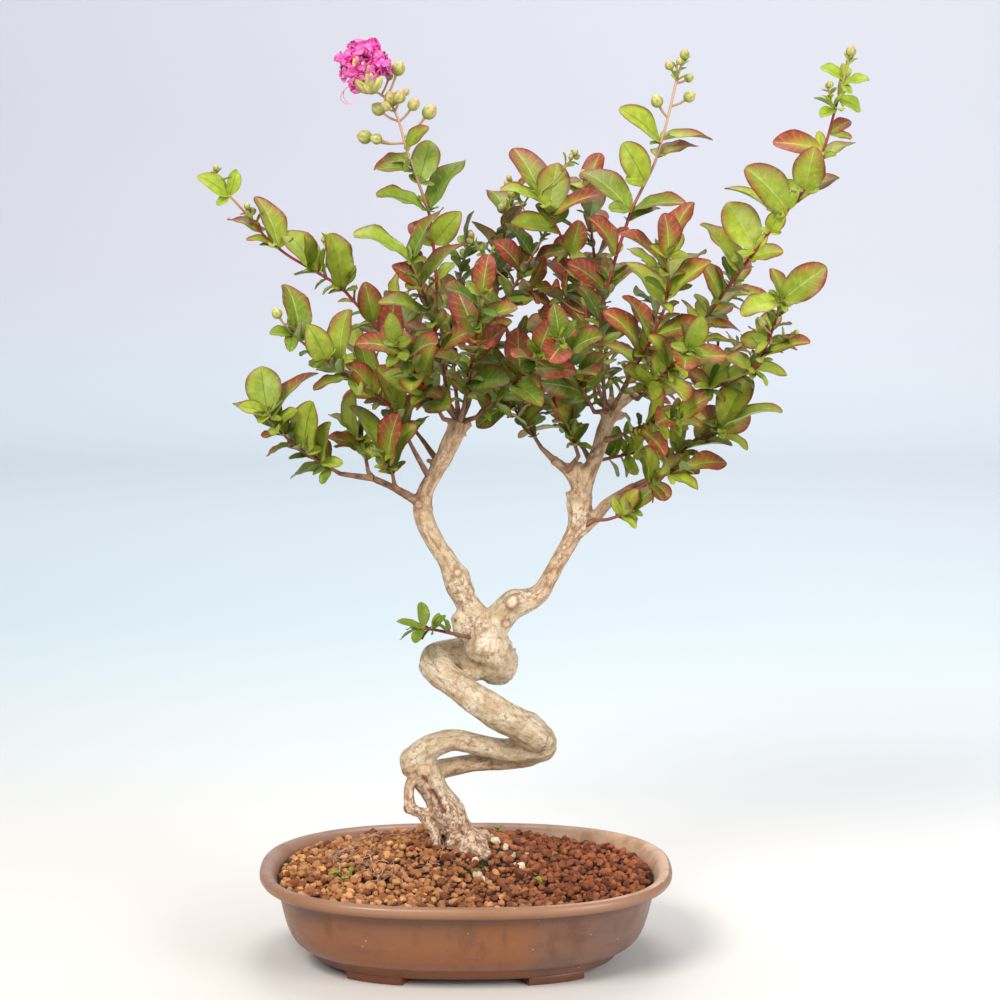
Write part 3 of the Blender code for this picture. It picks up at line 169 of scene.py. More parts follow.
# Leafy shoots, as in the part's source
Shoot = namedtuple("Shoot", "name fork route leaves buds")
LEFT_HEAD = (-4, 0, 366)
RIGHT_HEAD = (97, 0, 374)
SHOOTS = (
    Shoot(
        "flower_shoot",
        LEFT_HEAD,
        ((-11, 2, 382), (-14, 4, 414), (-18, 3, 447), (-20, 0, 477), (-23, -2, 504), (-38, -5, 546),
         (-43, -6, 566), (-49, -8, 578), (-60, -8, 585)),
        ((0.47, 135, 22, 13), (0.48, 50, 28, 18), (0.58, 55, 41, 14), (0.58, 160, 36, 12), (0.67, 75, 29, 19),
         (0.71, 175, 24, 9), (0.75, 195, 25, 10), (0.79, 40, 20, 11)),
        ((-43, -4, 598, 4.6), (-33, -10, 575, 4), (-23, -4, 570, 4.8), (-65, -2, 554, 4.6),
         (-57, -12, 553, 3.6), (-42, -14, 580, 4.2), (-56, -2, 572, 4.4)),
    ),
    Shoot(
        "front_shoot",
        RIGHT_HEAD,
        ((100, -20, 384), (108, -34, 403), (116, -48, 418), (121, -56, 430), (128, -62, 447), (130, -66, 465),
         (129, -70, 482)),
        ((0.3, 155, 29, 11), (0.38, 130, 39, 11), (0.46, 115, 34, 10), (0.51, 15, 34, 13), (0.7, 130, 38, 16),
         (0.73, 45, 39, 11), (0.85, 35, 48, 14), (0.9, 140, 45, 13), (1.0, 65, 38, 13), (1.0, 95, 28, 15)),
        (),
    ),
    Shoot(
        "tall_right_shoot",
        (116, 0, 389),
        ((137, -2, 400), (149, 0, 420), (163, 0, 442), (181, -2, 467), (199, -5, 492), (222, -6, 520),
         (235, -4, 548), (243, -2, 579), (250, 0, 604)),
        ((0.17, 25, 21, 10), (0.24, 115, 27, 12), (0.33, 125, 40, 16), (0.38, 15, 22, 10),
         (0.41, 120, 36, 25), (0.47, 65, 17, 13), (0.52, 150, 41, 11), (0.55, 135, 42, 25),
         (0.57, 30, 36, 13), (0.62, 80, 29, 22), (0.71, 25, 28, 11), (0.74, 170, 34, 16),
         (0.79, 30, 17, 10), (0.86, 205, 12, 8), (0.89, 335, 18, 10), (0.93, 10, 17, 8),
         (0.94, 145, 17, 8)),
        ((251, 0, 609, 3.4),),
    ),
    Shoot(
        "tall_centre_shoot",
        RIGHT_HEAD,
        ((92, -9, 383), (89, -12, 416), (89, -13, 442), (99, -12, 478), (109, -10, 508), (124, -6, 537),
         (132, -4, 565), (138, -2, 592), (142, 0, 603)),
        ((0.22, 120, 28, 13), (0.31, 140, 32, 14), (0.33, 35, 25, 10), (0.42, 125, 31, 15), (0.52, 20, 23, 9),
         (0.55, 10, 36, 11), (0.55, 140, 41, 19), (0.64, 120, 30, 20), (0.72, 15, 29, 11),
         (0.76, 140, 36, 13), (0.77, 0, 34, 10)),
        ((143, 0, 607, 3.2), (133, -4, 600, 3), (146, 2, 592, 3), (146, -4, 580, 3.8), (125, -6, 577, 4)),
    ),
    Shoot(
        "centre_shoot",
        RIGHT_HEAD,
        ((86, -1, 384), (82, 4, 415), (79, 12, 447), (75, 18, 464), (62, 22, 491), (49, 26, 516)),
        ((0.32, 135, 27, 14), (0.48, 45, 25, 12), (0.51, 135, 27, 13), (0.68, 75, 24, 16), (0.7, 195, 23, 10),
         (0.79, 165, 33, 12), (0.84, 130, 18, 9), (0.88, 25, 37, 12), (0.9, 80, 33, 23), (0.94, 160, 32, 11),
         (1.0, 120, 35, 19)),
        (),
    ),
    Shoot(
        "long_left_shoot",
        LEFT_HEAD,
        ((-19, 6, 386), (-54, 14, 423), (-83, 18, 455), (-100, 20, 465), (-118, 22, 475), (-133, 24, 487),
         (-144, 25, 501), (-155, 26, 513), (-164, 27, 521)),
        ((0.14, 225, 25, 12), (0.22, 85, 31, 19), (0.25, 160, 20, 10), (0.31, 100, 28, 17), (0.45, 75, 20, 8),
         (0.47, 100, 37, 18), (0.56, 130, 36, 17), (0.59, 95, 23, 8), (0.71, 115, 38, 15), (0.74, 170, 17, 7),
         (0.79, 160, 25, 9), (0.95, 145, 24, 13)),
        ((-142, 32, 504, 2.6), (-167, 28, 524, 2.4)),
    ),
    Shoot(
        "left_inner_shoot",
        LEFT_HEAD,
        ((-10, -9, 378), (-14, -24, 404), (-18, -36, 427), (-23, -44, 447), (-28, -50, 461), (-34, -55, 477)),
        ((0.39, 140, 29, 11), (0.41, 30, 30, 13), (0.59, 115, 31, 10), (0.63, 160, 35, 11),
         (0.83, 45, 40, 13), (0.83, 140, 23, 10), (1.0, 60, 40, 13), (1.0, 150, 43, 12)),
        (),
    ),
    Shoot(
        "low_left_shoot",
        (-23, 0, 327),
        ((-35, -14, 352), (-47, -24, 379), (-59, -31, 389), (-80, -39, 405), (-101, -46, 421),
         (-111, -50, 431)),
        ((0.12, 65, 29, 12), (0.17, 110, 50, 12), (0.28, 90, 24, 14), (0.39, 130, 29, 16),
         (0.46, 100, 32, 11), (0.57, 195, 25, 8), (0.64, 85, 39, 16), (0.74, 115, 27, 18),
         (0.93, 105, 37, 18), (1.0, 175, 14, 8)),
        ((-120, -50, 443, 3.4),),
    ),
    Shoot(
        "bottom_left_shoot",
        (-61, -9, 330),
        ((-85, -12, 335), (-97, -17, 343), (-108, -21, 351), (-117, -24, 359), (-129, -30, 377)),
        ((0.08, 195, 28, 9), (0.21, 75, 29, 14), (0.27, 160, 24, 8), (0.4, 80, 36, 20), (0.67, 150, 52, 13),
         (0.83, 35, 18, 9), (0.92, 45, 42, 13), (0.96, 160, 20, 9), (1.0, 100, 30, 24)),
        (),
    ),
    Shoot(
        "low_left_twig_shoot",
        (-44, -5, 321),
        ((-47, -15, 329), (-48, -20, 337), (-52, -23, 342), (-56, -25, 349)),
        ((0.3, 70, 20, 8), (0.5, 80, 39, 13), (0.62, 110, 25, 10), (0.75, 50, 32, 13), (0.98, 120, 36, 10)),
        (),
    ),
    Shoot(
        "low_left_back_shoot",
        (-61, -9, 330),
        ((-65, 0, 336), (-67, 6, 345), (-71, 10, 352), (-75, 13, 358)),
        ((0.2, 50, 16, 9), (0.45, 155, 26, 10), (0.6, 80, 24, 9), (0.85, 90, 33, 14), (0.97, 145, 21, 8)),
        (),
    ),
    Shoot(
        "right_bud_shoot",
        (116, 0, 389),
        ((155, -14, 389), (174, -24, 396), (190, -31, 406), (196, -36, 422), (201, -41, 438),
         (204, -45, 452)),
        ((0.0, 55, 30, 16), (0.05, 25, 32, 13), (0.08, 145, 19, 10), (0.42, 150, 20, 9), (0.43, 350, 23, 8),
         (0.55, 20, 32, 12), (0.68, 180, 18, 12), (1.0, 40, 35, 22), (1.0, 105, 21, 9), (1.0, 195, 28, 15)),
        ((191, -45, 437, 3.2),),
    ),
    Shoot(
        "low_right_shoot",
        (113, -6, 325),
        ((131, -8, 335), (138, -14, 346), (150, -20, 357), (161, -25, 363), (168, -29, 367)),
        ((0.02, 105, 18, 9), (0.17, 340, 20, 9), (0.31, 70, 32, 12), (0.38, 10, 33, 9), (0.62, 50, 26, 20),
         (0.85, 335, 25, 9), (0.91, 20, 25, 16), (1.0, 20, 40, 11), (1.0, 60, 37, 20)),
        (),
    ),
    Shoot(
        "under_right_shoot",
        (102, -5, 318),
        ((116, -17, 325), (123, -23, 331), (133, -30, 336), (144, -36, 341)),
        ((0.19, 325, 19, 12), (0.25, 100, 25, 10), (0.48, 40, 25, 9), (0.65, 335, 21, 10), (1.0, 5, 28, 12)),
        (),
    ),
    Shoot(
        "lowest_right_shoot",
        (77, -1, 294),
        ((87, -9, 302), (94, -13, 303), (101, -17, 306), (110, -21, 311)),
        ((0.55, 345, 15, 7), (0.68, 60, 21, 11), (1.0, 45, 22, 10)),
        (),
    ),
    Shoot(
        "inner_right_shoot",
        (84, 0, 337),
        ((91, 8, 340), (99, 14, 341), (108, 20, 342), (118, 26, 343)),
        ((0.33, 85, 20, 12), (0.62, 45, 22, 10), (0.89, 350, 18, 9), (1.0, 115, 20, 9)),
        (),
    ),
    Shoot(
        "inner_gap_shoot",
        (67, -1, 333),
        ((74, -13, 348), (70, -18, 360), (66, -22, 371), (62, -24, 378)),
        ((0.2, 55, 16, 8), (0.4, 120, 29, 9), (0.58, 50, 27, 9), (0.8, 100, 30, 14), (0.98, 150, 19, 9)),
        (),
    ),
    Shoot(
        "left_limb_shoot",
        (58, -2, 342),
        ((49, -4, 352), (43, -8, 362), (35, -12, 373), (28, -14, 384)),
        ((0.38, 110, 18, 9), (0.52, 35, 20, 9), (0.75, 135, 17, 8), (0.9, 215, 28, 14), (1.0, 85, 21, 12)),
        (),
    ),
    Shoot(
        "trunk_sprig",
        (8, -8, 222),
        ((-3, -18, 226), (-10, -20, 228), (-18, -21, 230), (-31, -22, 232)),
        ((0.3, 120, 9, 5), (0.66, 55, 14, 7), (0.75, 215, 9, 5), (0.9, 160, 18, 8), (1.0, 205, 9, 5)),
        (),
    ),
    Shoot(
        "mid_cross_shoot",
        LEFT_HEAD,
        ((3, 3, 381), (12, 6, 414), (24, 12, 441), (34, 16, 458), (52, 20, 488)),
        ((0.29, 150, 25, 12), (0.31, 45, 25, 13), (0.53, 150, 26, 13), (0.55, 15, 22, 10), (0.72, 30, 25, 10),
         (0.77, 130, 28, 13), (0.87, 130, 29, 12), (1.0, 70, 25, 12)),
        (),
    ),
    Shoot("back_left_shoot", LEFT_HEAD, ((-14, 16, 377), (-30, 45, 403), (-48, 72, 440)), None, ()),
    Shoot("back_middle_shoot", LEFT_HEAD, ((-6, 20, 380), (-11, 55, 422), (0, 85, 478)), None,
          ((2, 86, 484, 3.6),)),
    Shoot("back_tall_shoot", LEFT_HEAD, ((2, 16, 380), (14, 44, 425), (30, 60, 508)), None,
          ((31, 62, 514, 3.4), (24, 60, 504, 3))),
    Shoot("front_left_shoot", LEFT_HEAD, ((-15, -16, 372), (-27, -50, 397), (-42, -84, 428)), None, ()),
    Shoot("front_middle_shoot", LEFT_HEAD, ((-1, -20, 378), (6, -58, 418), (12, -80, 458)), None, ()),
    Shoot("front_cross_shoot", LEFT_HEAD, ((9, -15, 373), (30, -40, 394), (48, -74, 420)), None, ()),
    Shoot("side_left_shoot", (-17, 0, 338), ((-30, 15, 354), (-50, 40, 376), (-72, 62, 404)), None, ()),
    Shoot("right_back_shoot", RIGHT_HEAD, ((89, 15, 386), (77, 45, 423), (64, 72, 466)), None, ()),
    Shoot("right_back_tall_shoot", RIGHT_HEAD, ((97, 18, 388), (90, 56, 442), (82, 70, 518)),
          None, ((80, 71, 526, 3.4),)),
    Shoot("right_back_side_shoot", RIGHT_HEAD, ((106, 17, 386), (126, 55, 422), (135, 90, 470)), None, ()),
    Shoot("right_back_outer_shoot", (116, 0, 389), ((124, 14, 394), (156, 50, 418), (184, 72, 452)),
          None, ()),
    Shoot("right_low_back_shoot", (110, 0, 385), ((124, 17, 384), (160, 44, 396), (200, 76, 416)), None, ()),
    Shoot("right_front_left_shoot", RIGHT_HEAD, ((84, -19, 377), (72, -52, 402), (60, -84, 432)), None, ()),
    Shoot("right_front_shoot", (110, 0, 385), ((114, -20, 385), (124, -52, 400), (143, -82, 424)), None, ()),
    Shoot("right_front_low_shoot", (90, 0, 354), ((101, -15, 359), (118, -38, 370), (138, -66, 378)),
          None, ()),
    Shoot("left_gap_back_shoot", (84, 0, 338), ((77, 14, 349), (62, 32, 364), (44, 58, 378)), None, ()),
)

# How the source holds its leaves
STEM_RADIUS = (1.35, 0.8)
TWIG_LEAD = 3.0
LEAF_SPREAD = math.radians(52)
BLADE_ARCH = 0.07
BLADE_FOLD = 0.28
WIDTH_OF_LENGTH = 0.58
LARGE_BLADE = ((0.32, 0.4), (0.7, 0.5))
SMALL_BLADE = ((0.6, 0.5),)
SMALL_LEAF = 34.0
LOWEST_LEAF = 3.5
SHORTEST_LEAF = 17.0
LONGEST_LEAF = 44.0
STEEPEST_LEAN = 62.0
LEANS = (0, 14, -14, 28, -28, 42, -42, 56, -56)
WIDE_SWINGS = (80, -80, 110, -110)
GOLDEN_ANGLE = math.radians(137.5)
SHRINKS = (1.0, 0.85, 0.7)
RULE_LEAF_LENGTHS = (29.0, 37.0)
RULE_LEAF_SPACING = 12.0
SAME_PLACE = 0.05

# Bloom, as in the part's source
BLOOM_CENTRE = (-65, -8, 601)
FLOWER_STEM_END = (-58, -8, 583)
CALYX_FOOT = (-61, -12, 583)
# Lobes of the calyx: (tip, half-width)
CALYX_LOBES = (
    ((-70, -17, 591), 4.0), ((-54, -17, 592), 3.8), ((-61.5, -20, 598), 4.3), ((-64, -6, 597), 3.6),
    ((-55, -6, 594), 3.6), ((-64, -18, 587), 3.4),
)
PETALS = 13
PETAL_REACH = (17.0, 21.0)
PETAL_WIDTH = 13.5
PETAL_BLADE = ((0.5, 0.3), (0.85, 0.5))
PETAL_WAVE = 1.6


# Shared geometry


def to_frame(points):
    """Millimetres from the pot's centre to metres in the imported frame."""
    return (np.asarray(points, float) - (*PLANT_MIDDLE, 0.0)) * MM


def add_object(name, data):
    obj = bpy.data.objects.new(name, data)
    bpy.context.scene.collection.objects.link(obj)
    return obj


class Patch:
    """Collects points and faces, and makes one object of them.

    Every point carries a tint, three numbers that its material reads, and a grain, its place along and around
    the stem it is on, in millimetres.
    """

    def __init__(self):
        self.points = []
        self.tints = []
        self.grains = []
        self.places = []
        self.faces = []
        self.slots = []
        self.count = 0

    def add(self, points, faces, slot=0, tint=(0.0, 0.0, 0.0), grain=None, place=None, backs=()):
        """Adds faces that show the material in this slot, and backs that show the one after it."""
        points = np.asarray(points, float)
        self.points.append(points)
        self.tints.append(np.broadcast_to(np.asarray(tint, float), (len(points), 3)))
        self.grains.append(points if grain is None else grain)
        self.places.append(np.zeros((len(points), 2)) if place is None else place)
        self.faces += [[corner + self.count for corner in face] for face in (*faces, *backs)]
        self.slots += [slot] * len(faces) + [slot + 1] * len(backs)
        self.count += len(points)

    def build(self, name, materials, sharp=LEAF_SHARP):
        mesh = bpy.data.meshes.new(name)
        mesh.from_pydata(to_frame(np.vstack(self.points)).tolist(), [], self.faces)
        tint = mesh.attributes.new("tint", "FLOAT_COLOR", "POINT")
        tint.data.foreach_set("color", np.hstack([np.vstack(self.tints), np.ones((self.count, 1))]).ravel())
        grain = mesh.attributes.new("grain", "FLOAT_VECTOR", "POINT")
        grain.data.foreach_set("vector", (np.vstack(self.grains) * MM).ravel())
        corners = np.empty(len(mesh.loops), int)
        mesh.loops.foreach_get("vertex_index", corners)
        mesh.uv_layers.new(name="blade").data.foreach_set("uv", np.vstack(self.places)[corners].ravel())
        for material in materials:
            mesh.materials.append(material)
        mesh.polygons.foreach_set("material_index", self.slots)
        mesh.shade_smooth()
        mesh.set_sharp_from_angle(angle=sharp)
        mesh.update()
        return add_object(name, mesh)


def vectors(points):
    return [Vector(point[:3]) for point in points]


def smooth_route(route, step):
    """Points on a smooth curve through a route of (x, y, z, radius), about a step apart."""
    knots = np.array(route, float)
    padded = np.vstack([2 * knots[0] - knots[1], knots, 2 * knots[-1] - knots[-2]])
    points = []
    for before, start, end, after in zip(padded, padded[1:], padded[2:], padded[3:]):
        steps = max(1, round(np.linalg.norm((end - start)[:3]) / step))
        for number in range(steps):
            t = number / steps
            linear = (end - before) * t
            square = (2 * before - 5 * start + 4 * end - after) * t**2
            cube = (3 * start - before - 3 * end + after) * t**3
            points.append(start + 0.5 * (linear + square + cube))
    return np.array(points + [knots[-1]])


def smooth_line(points, step):
    """Points on a smooth curve through these points, about a step apart."""
    return smooth_route([(*point, 0) for point in points], step)[:, :3]


def rounded_route(route, cut, step):
    """The straight runs of a route with its corners rounded off, as points about a step apart."""
    knots = np.array(route, float)
    marks = [knots[0]]
    for before, knot, after in zip(knots, knots[1:], knots[2:]):
        spans = [np.linalg.norm(other - knot) for other in (before, after)]
        cuts = [min(cut, span / 3) / span for span in spans]
        start, end = (knot + (other - knot) * share for other, share in zip((before, after), cuts))
        for t in (0, 0.33, 0.67, 1):
            marks.append((1 - t) ** 2 * start + 2 * t * (1 - t) * knot + t * t * end)
    marks.append(knots[-1])
    points = []
    for start, end in zip(marks, marks[1:]):
        steps = max(1, round(np.linalg.norm(end - start) / step))
        points += [start + (end - start) * number / steps for number in range(steps)]
    return np.array(points + [marks[-1]])


def frames_along(points):
    """Directions along a curve and two square to each, which don't twist."""
    ahead = np.gradient(points, axis=0)
    ahead /= np.linalg.norm(ahead, axis=1)[:, None]
    side = np.cross(ahead[0], (0.13, 0.97, 0.21))
    sides = []
    for direction in ahead:
        side = side - direction * side.dot(direction)
        side /= np.linalg.norm(side)
        sides.append(side)
    sides = np.array(sides)
    return ahead, sides, np.cross(ahead, sides)


def lengths_along(points):
    """How far along a curve each of its points is."""
    return np.concatenate([[0], np.cumsum(np.linalg.norm(np.diff(points, axis=0), axis=1))])


def tree_of(points):
    """A tree that finds the nearest of these points."""
    tree = KDTree(len(points))
    for index, point in enumerate(points):
        tree.insert(point, index)
    tree.balance()
    return tree


def tube(points, radii, count):
    """Points, faces, grain and share of the length at each point, of a round tube with closed ends."""
    points = np.asarray(points, float)
    radii = np.broadcast_to(np.asarray(radii, float), len(points))
    _, sides, ups = frames_along(points)
    turns = 2 * np.pi * np.arange(count) / count
    rings = np.cos(turns)[None, :, None] * sides[:, None] + np.sin(turns)[None, :, None] * ups[:, None]
    skin = points[:, None] + rings * radii[:, None, None]
    lengths = lengths_along(points)
    grain = np.empty((len(points), count, 3))
    grain[:, :, 0] = lengths[:, None]
    grain[:, :, 1] = np.cos(turns)[None] * radii[:, None]
    grain[:, :, 2] = np.sin(turns)[None] * radii[:, None]
    rings_on = range(len(points) - 1)
    faces = [
        (row * count + place, row * count + (place + 1) % count, (row + 1) * count + (place + 1) % count,
         (row + 1) * count + place)
        for row in rings_on
        for place in range(count)
    ]
    first = len(points) * count
    last_ring = first - count
    faces += [(first, (place + 1) % count, place) for place in range(count)]
    faces += [(first + 1, last_ring + place, last_ring + (place + 1) % count) for place in range(count)]
    skin = np.vstack([skin.reshape(-1, 3), points[0], points[-1]])
    grain = np.vstack([grain.reshape(-1, 3), (0, 0, 0), (lengths[-1], 0, 0)])
    shares = np.concatenate([np.repeat(lengths / lengths[-1], count), (0, 1)])
    return skin, faces, grain, shares


def sphere_unit(subdivisions):
    """Points and faces of a round ball of radius 1."""
    bm = bmesh.new()
    bmesh.ops.create_icosphere(bm, subdivisions=subdivisions, radius=1)
    points = np.array([vertex.co[:] for vertex in bm.verts])
    faces = [[vertex.index for vertex in face.verts] for face in bm.faces]
    bm.free()
    return points, faces


def sheet_faces(rows, columns):
    """Upper and lower faces of a sheet whose two sides meet at its rim and tip."""

    def upper(row, column):
        return row * columns + column

    def lower(row, column):
        if column in (0, columns - 1):
            return upper(row, column)
        return rows * columns + row * (columns - 2) + column - 1

    tip = rows * (2 * columns - 2)
    tops = []
    bottoms = []
    for row in range(rows - 1):
        for column in range(columns - 1):
            corners = ((row, column), (row, column + 1), (row + 1, column + 1), (row + 1, column))
            tops.append([upper(*corner) for corner in corners])
            bottoms.append([lower(*corner) for corner in reversed(corners)])
    for column in range(columns - 1):
        tops.append([upper(rows - 1, column), upper(rows - 1, column + 1), tip])
        bottoms.append([lower(rows - 1, column + 1), lower(rows - 1, column), tip])
    foot = [lower(0, column) for column in range(columns)]
    foot += [upper(0, column) for column in range(columns - 2, 0, -1)]
    bottoms.append(foot)
    return tops, bottoms


def sheet_points(pose, along, x, z, thickness):
    """Points of a bent sheet on a pose, from its height z and its sideways place x at each row and column."""
    base, axis, normal = (np.array(vector) for vector in (pose.base, pose.axis, pose.normal))
    side = np.cross(axis, normal)
    x, z = np.broadcast_arrays(x, z)
    thickness = np.broadcast_to(thickness, x[:, 1:-1].shape)
    y = along[:, None] * pose.length
    upper = base + axis * y[..., None] + side * x[..., None] + normal * z[..., None]
    lower = upper[:, 1:-1] - normal * thickness[..., None]
    tip = upper[-1].mean(axis=0) + axis * (1 - along[-1]) * pose.length
    return np.vstack([upper.reshape(-1, 3), lower.reshape(-1, 3), tip])


def sheet_places(along, across):
    """The place of each of a sheet's points: across from 0 to 1, and along from 0 to 1."""
    share = (across + 1) / 2
    upper = [(u, v) for v in along for u in share]
    lower = [(u, v) for v in along for u in share[1:-1]]
    return np.array(upper + lower + [(0.5, 1.0)])


# Materials


def srgb(red, green, blue):
    """A colour as a picture shows it, 0 to 255, to the numbers that a shader takes."""
    return tuple(((part / 255 + 0.055) / 1.055) ** 2.4 for part in (red, green, blue)) + (1.0,)


class Shader:
    """Builds one material from nodes. Sizes of patterns are in millimetres."""

    def __init__(self, name):
        self.material = bpy.data.materials.new(name)
        self.material.use_nodes = True
        self.tree = self.material.node_tree
        self.surface = self.tree.nodes["Principled BSDF"]

    def node(self, kind, inputs, **settings):
        node = self.tree.nodes.new(kind)
        for name, value in settings.items():
            setattr(node, name, value)
        for key, value in inputs.items():
            self.feed(node.inputs[key], value)
        return node

    def feed(self, socket, value):
        if isinstance(value, bpy.types.NodeSocket):
            self.tree.links.new(value, socket)
        else:
            socket.default_value = value

    def math(self, operation, first, second=0.0, clamp=False):
        node = self.node("ShaderNodeMath", {0: first, 1: second}, operation=operation, use_clamp=clamp)
        return node.outputs[0]

    def times(self, first, second):
        return self.math("MULTIPLY", first, second)

    def plus(self, first, second, clamp=False):
        return self.math("ADD", first, second, clamp)

    def minus(self, first, second):
        return self.math("SUBTRACT", first, second)

    def ramp(self, value, low, high, to_low=0.0, to_high=1.0):
        """A smooth step of a value from one range to another."""
        inputs = {"Value": value, "From Min": low, "From Max": high, "To Min": to_low, "To Max": to_high}
        return self.node("ShaderNodeMapRange", inputs, interpolation_type="SMOOTHSTEP").outputs["Result"]

    def mix(self, factor, first, second, blend="MIX"):
        inputs = {0: factor, 6: first, 7: second}
        return self.node("ShaderNodeMix", inputs, data_type="RGBA", blend_type=blend).outputs[2]

    def place(self):
        return self.node("ShaderNodeTexCoord", {}).outputs["Object"]

    def attribute(self, name):
        return self.node("ShaderNodeAttribute", {}, attribute_name=name).outputs["Vector"]

    def attribute_part(self, name):
        """The first number of an attribute."""
        return self.parts(self.attribute(name))[0]

    def parts(self, vector):
        return self.node("ShaderNodeSeparateXYZ", {0: vector}).outputs[:3]

    def stretched(self, vector, scales):
        return self.node("ShaderNodeVectorMath", {0: vector, 1: scales}, operation="MULTIPLY").outputs[0]

    def wandering(self, size, reach):
        """The place on the object, shifted this way and that by up to half the reach."""
        inputs = {"Vector": self.place(), "Scale": 1 / (size * MM), "Detail": 3.0}
        bend = self.node("ShaderNodeTexNoise", inputs).outputs["Color"]
        shift_inputs = {0: bend, "Scale": reach * MM}
        shift = self.node("ShaderNodeVectorMath", shift_inputs, operation="SCALE").outputs[0]
        return self.node("ShaderNodeVectorMath", {0: self.place(), 1: shift}, operation="ADD").outputs[0]

    def noise(self, size, detail=3.0, roughness=0.55, vector=None):
        inputs = {
            "Vector": vector or self.place(),
            "Scale": 1 / (size * MM),
            "Detail": detail,
            "Roughness": roughness,
        }
        return self.node("ShaderNodeTexNoise", inputs).outputs["Fac"]

    def cells(self, size, feature="F1", vector=None):
        inputs = {"Vector": vector or self.place(), "Scale": 1 / (size * MM)}
        return self.node("ShaderNodeTexVoronoi", inputs, feature=feature).outputs

    def finish(self, colour, roughness, height=None, strength=0.3, depth=0.3, settings=None):
        """Feeds the surface. The bump's depth is in millimetres."""
        self.feed(self.surface.inputs["Base Color"], colour)
        self.feed(self.surface.inputs["Roughness"], roughness)
        if height is not None:
            bump_inputs = {"Height": height, "Strength": strength, "Distance": depth * MM}
            bump = self.node("ShaderNodeBump", bump_inputs)
            self.feed(self.surface.inputs["Normal"], bump.outputs[0])
        for name, value in (settings or {}).items():
            self.surface.inputs[name].default_value = value
        return self.material


def glow(weight, reach):
    """Settings of a thin skin that light passes into. The reach of red, green and blue is in millimetres."""
    return {"Subsurface Weight": weight, "Subsurface Radius": reach, "Subsurface Scale": MM}


def vein_masks(shader):
    """Masks of a blade: place along, distance from the midrib, the midrib and the side veins."""
    across, along, _ = shader.parts(shader.node("ShaderNodeUVMap", {}, uv_map="blade").outputs[0])
    from_middle = shader.math("ABSOLUTE", shader.times(shader.minus(across, 0.5), 2.0))
    midrib = shader.ramp(from_middle, 0.015, 0.06, 1.0, 0.0)
    climb = shader.times(shader.math("POWER", from_middle, 0.8), 1.5)
    saw = shader.math("FRACT", shader.minus(shader.times(along, 7.5), climb))
    line = shader.ramp(shader.math("ABSOLUTE", shader.minus(saw, 0.5)), 0.03, 0.12, 1.0, 0.0)
    veins = shader.times(line, shader.ramp(from_middle, 0.6, 0.98, 1.0, 0.0))
    return along, from_middle, midrib, veins


def leaf_material(name, under):
    """Leaf skin. The tint holds how yellow, how red and how young the leaf is."""
    shader = Shader(name)
    tone, red, young = shader.parts(shader.attribute("tint"))
    along, from_middle, midrib, veins = vein_masks(shader)
    blotches = shader.noise(5.0, 4.0)
    fine = shader.noise(0.7, 3.0)
    if under:
        green = shader.mix(tone, srgb(108, 130, 84), srgb(160, 174, 116))
        bronze = srgb(158, 112, 78)
    else:
        green = shader.mix(tone, srgb(50, 88, 14), srgb(150, 164, 44))
        bronze = shader.mix(blotches, srgb(94, 20, 18), srgb(166, 58, 46))
    green = shader.mix(young, green, srgb(140, 160, 34))
    outward = shader.plus(shader.times(along, 0.6), shader.times(from_middle, 0.46))
    reach = shader.plus(outward, shader.times(blotches, 0.3))
    edge = shader.minus(1.24, shader.times(red, 0.85))
    blush = shader.ramp(shader.minus(reach, edge), -0.22, 0.42, 0.0, 0.95)
    rim = shader.times(shader.ramp(from_middle, 0.72, 1.0), shader.ramp(along, 0.1, 0.5))
    grown = shader.minus(1.0, young)
    rim = shader.times(shader.times(rim, grown), 0.8)
    colour = shader.mix(blush, green, bronze)
    colour = shader.mix(rim, colour, srgb(98, 18, 12))
    colour = shader.mix(shader.times(veins, 0.2), colour, srgb(172, 166, 84))
    midrib_colour = shader.mix(shader.ramp(red, 0.3, 0.5), srgb(72, 60, 18), srgb(190, 178, 118))
    midrib_colour = srgb(172, 136, 92) if under else midrib_colour
    colour = shader.mix(shader.times(midrib, 0.55), colour, midrib_colour)
    shade = shader.ramp(blotches, 0.3, 0.7, 0.8, 1.12)
    shades = shader.node("ShaderNodeCombineXYZ", {0: shade, 1: shade, 2: shade}).outputs[0]
    colour = shader.mix(1.0, colour, shades, "MULTIPLY")
    ribs = shader.plus(shader.times(midrib, 0.8), shader.times(veins, 0.5))
    ribs = ribs if under else shader.times(ribs, -1.0)
    height = shader.plus(ribs, shader.times(fine, 0.35))
    roughness = shader.ramp(fine, 0.2, 0.8, 0.55, 0.7) if under else shader.ramp(fine, 0.2, 0.8, 0.4, 0.56)
    settings = {"Specular IOR Level": 0.32, **glow(0.07, (1.0, 2.0, 0.4))}
    return shader.finish(colour, roughness, height, 0.5, 0.25, settings)


def stem_material():
    """Young stems: the tint holds the share of the length, how pale the tip is and how brown the stem is."""
    shader = Shader("young_stem")
    share, pale, brown = shader.parts(shader.attribute("tint"))
    streaks = shader.noise(1.2, 4.0, vector=shader.stretched(shader.attribute("grain"), (0.12, 1, 1)))
    colour = shader.mix(shader.ramp(share, 0.08, 0.42), srgb(108, 68, 46), srgb(128, 20, 28))
    colour = shader.mix(brown, colour, srgb(122, 80, 56))
    green_tip = shader.mix(shader.ramp(share, 0.8, 1.0), colour, srgb(158, 140, 72))
    tan_tip = shader.mix(shader.ramp(share, 0.5, 0.8), colour, srgb(184, 146, 116))
    colour = shader.mix(pale, green_tip, tan_tip)
    colour = shader.mix(shader.ramp(streaks, 0.45, 0.75, 0.0, 0.35), colour, srgb(178, 92, 72))
    return shader.finish(colour, shader.ramp(streaks, 0.2, 0.8, 0.38, 0.55), streaks, 0.4, 0.2)


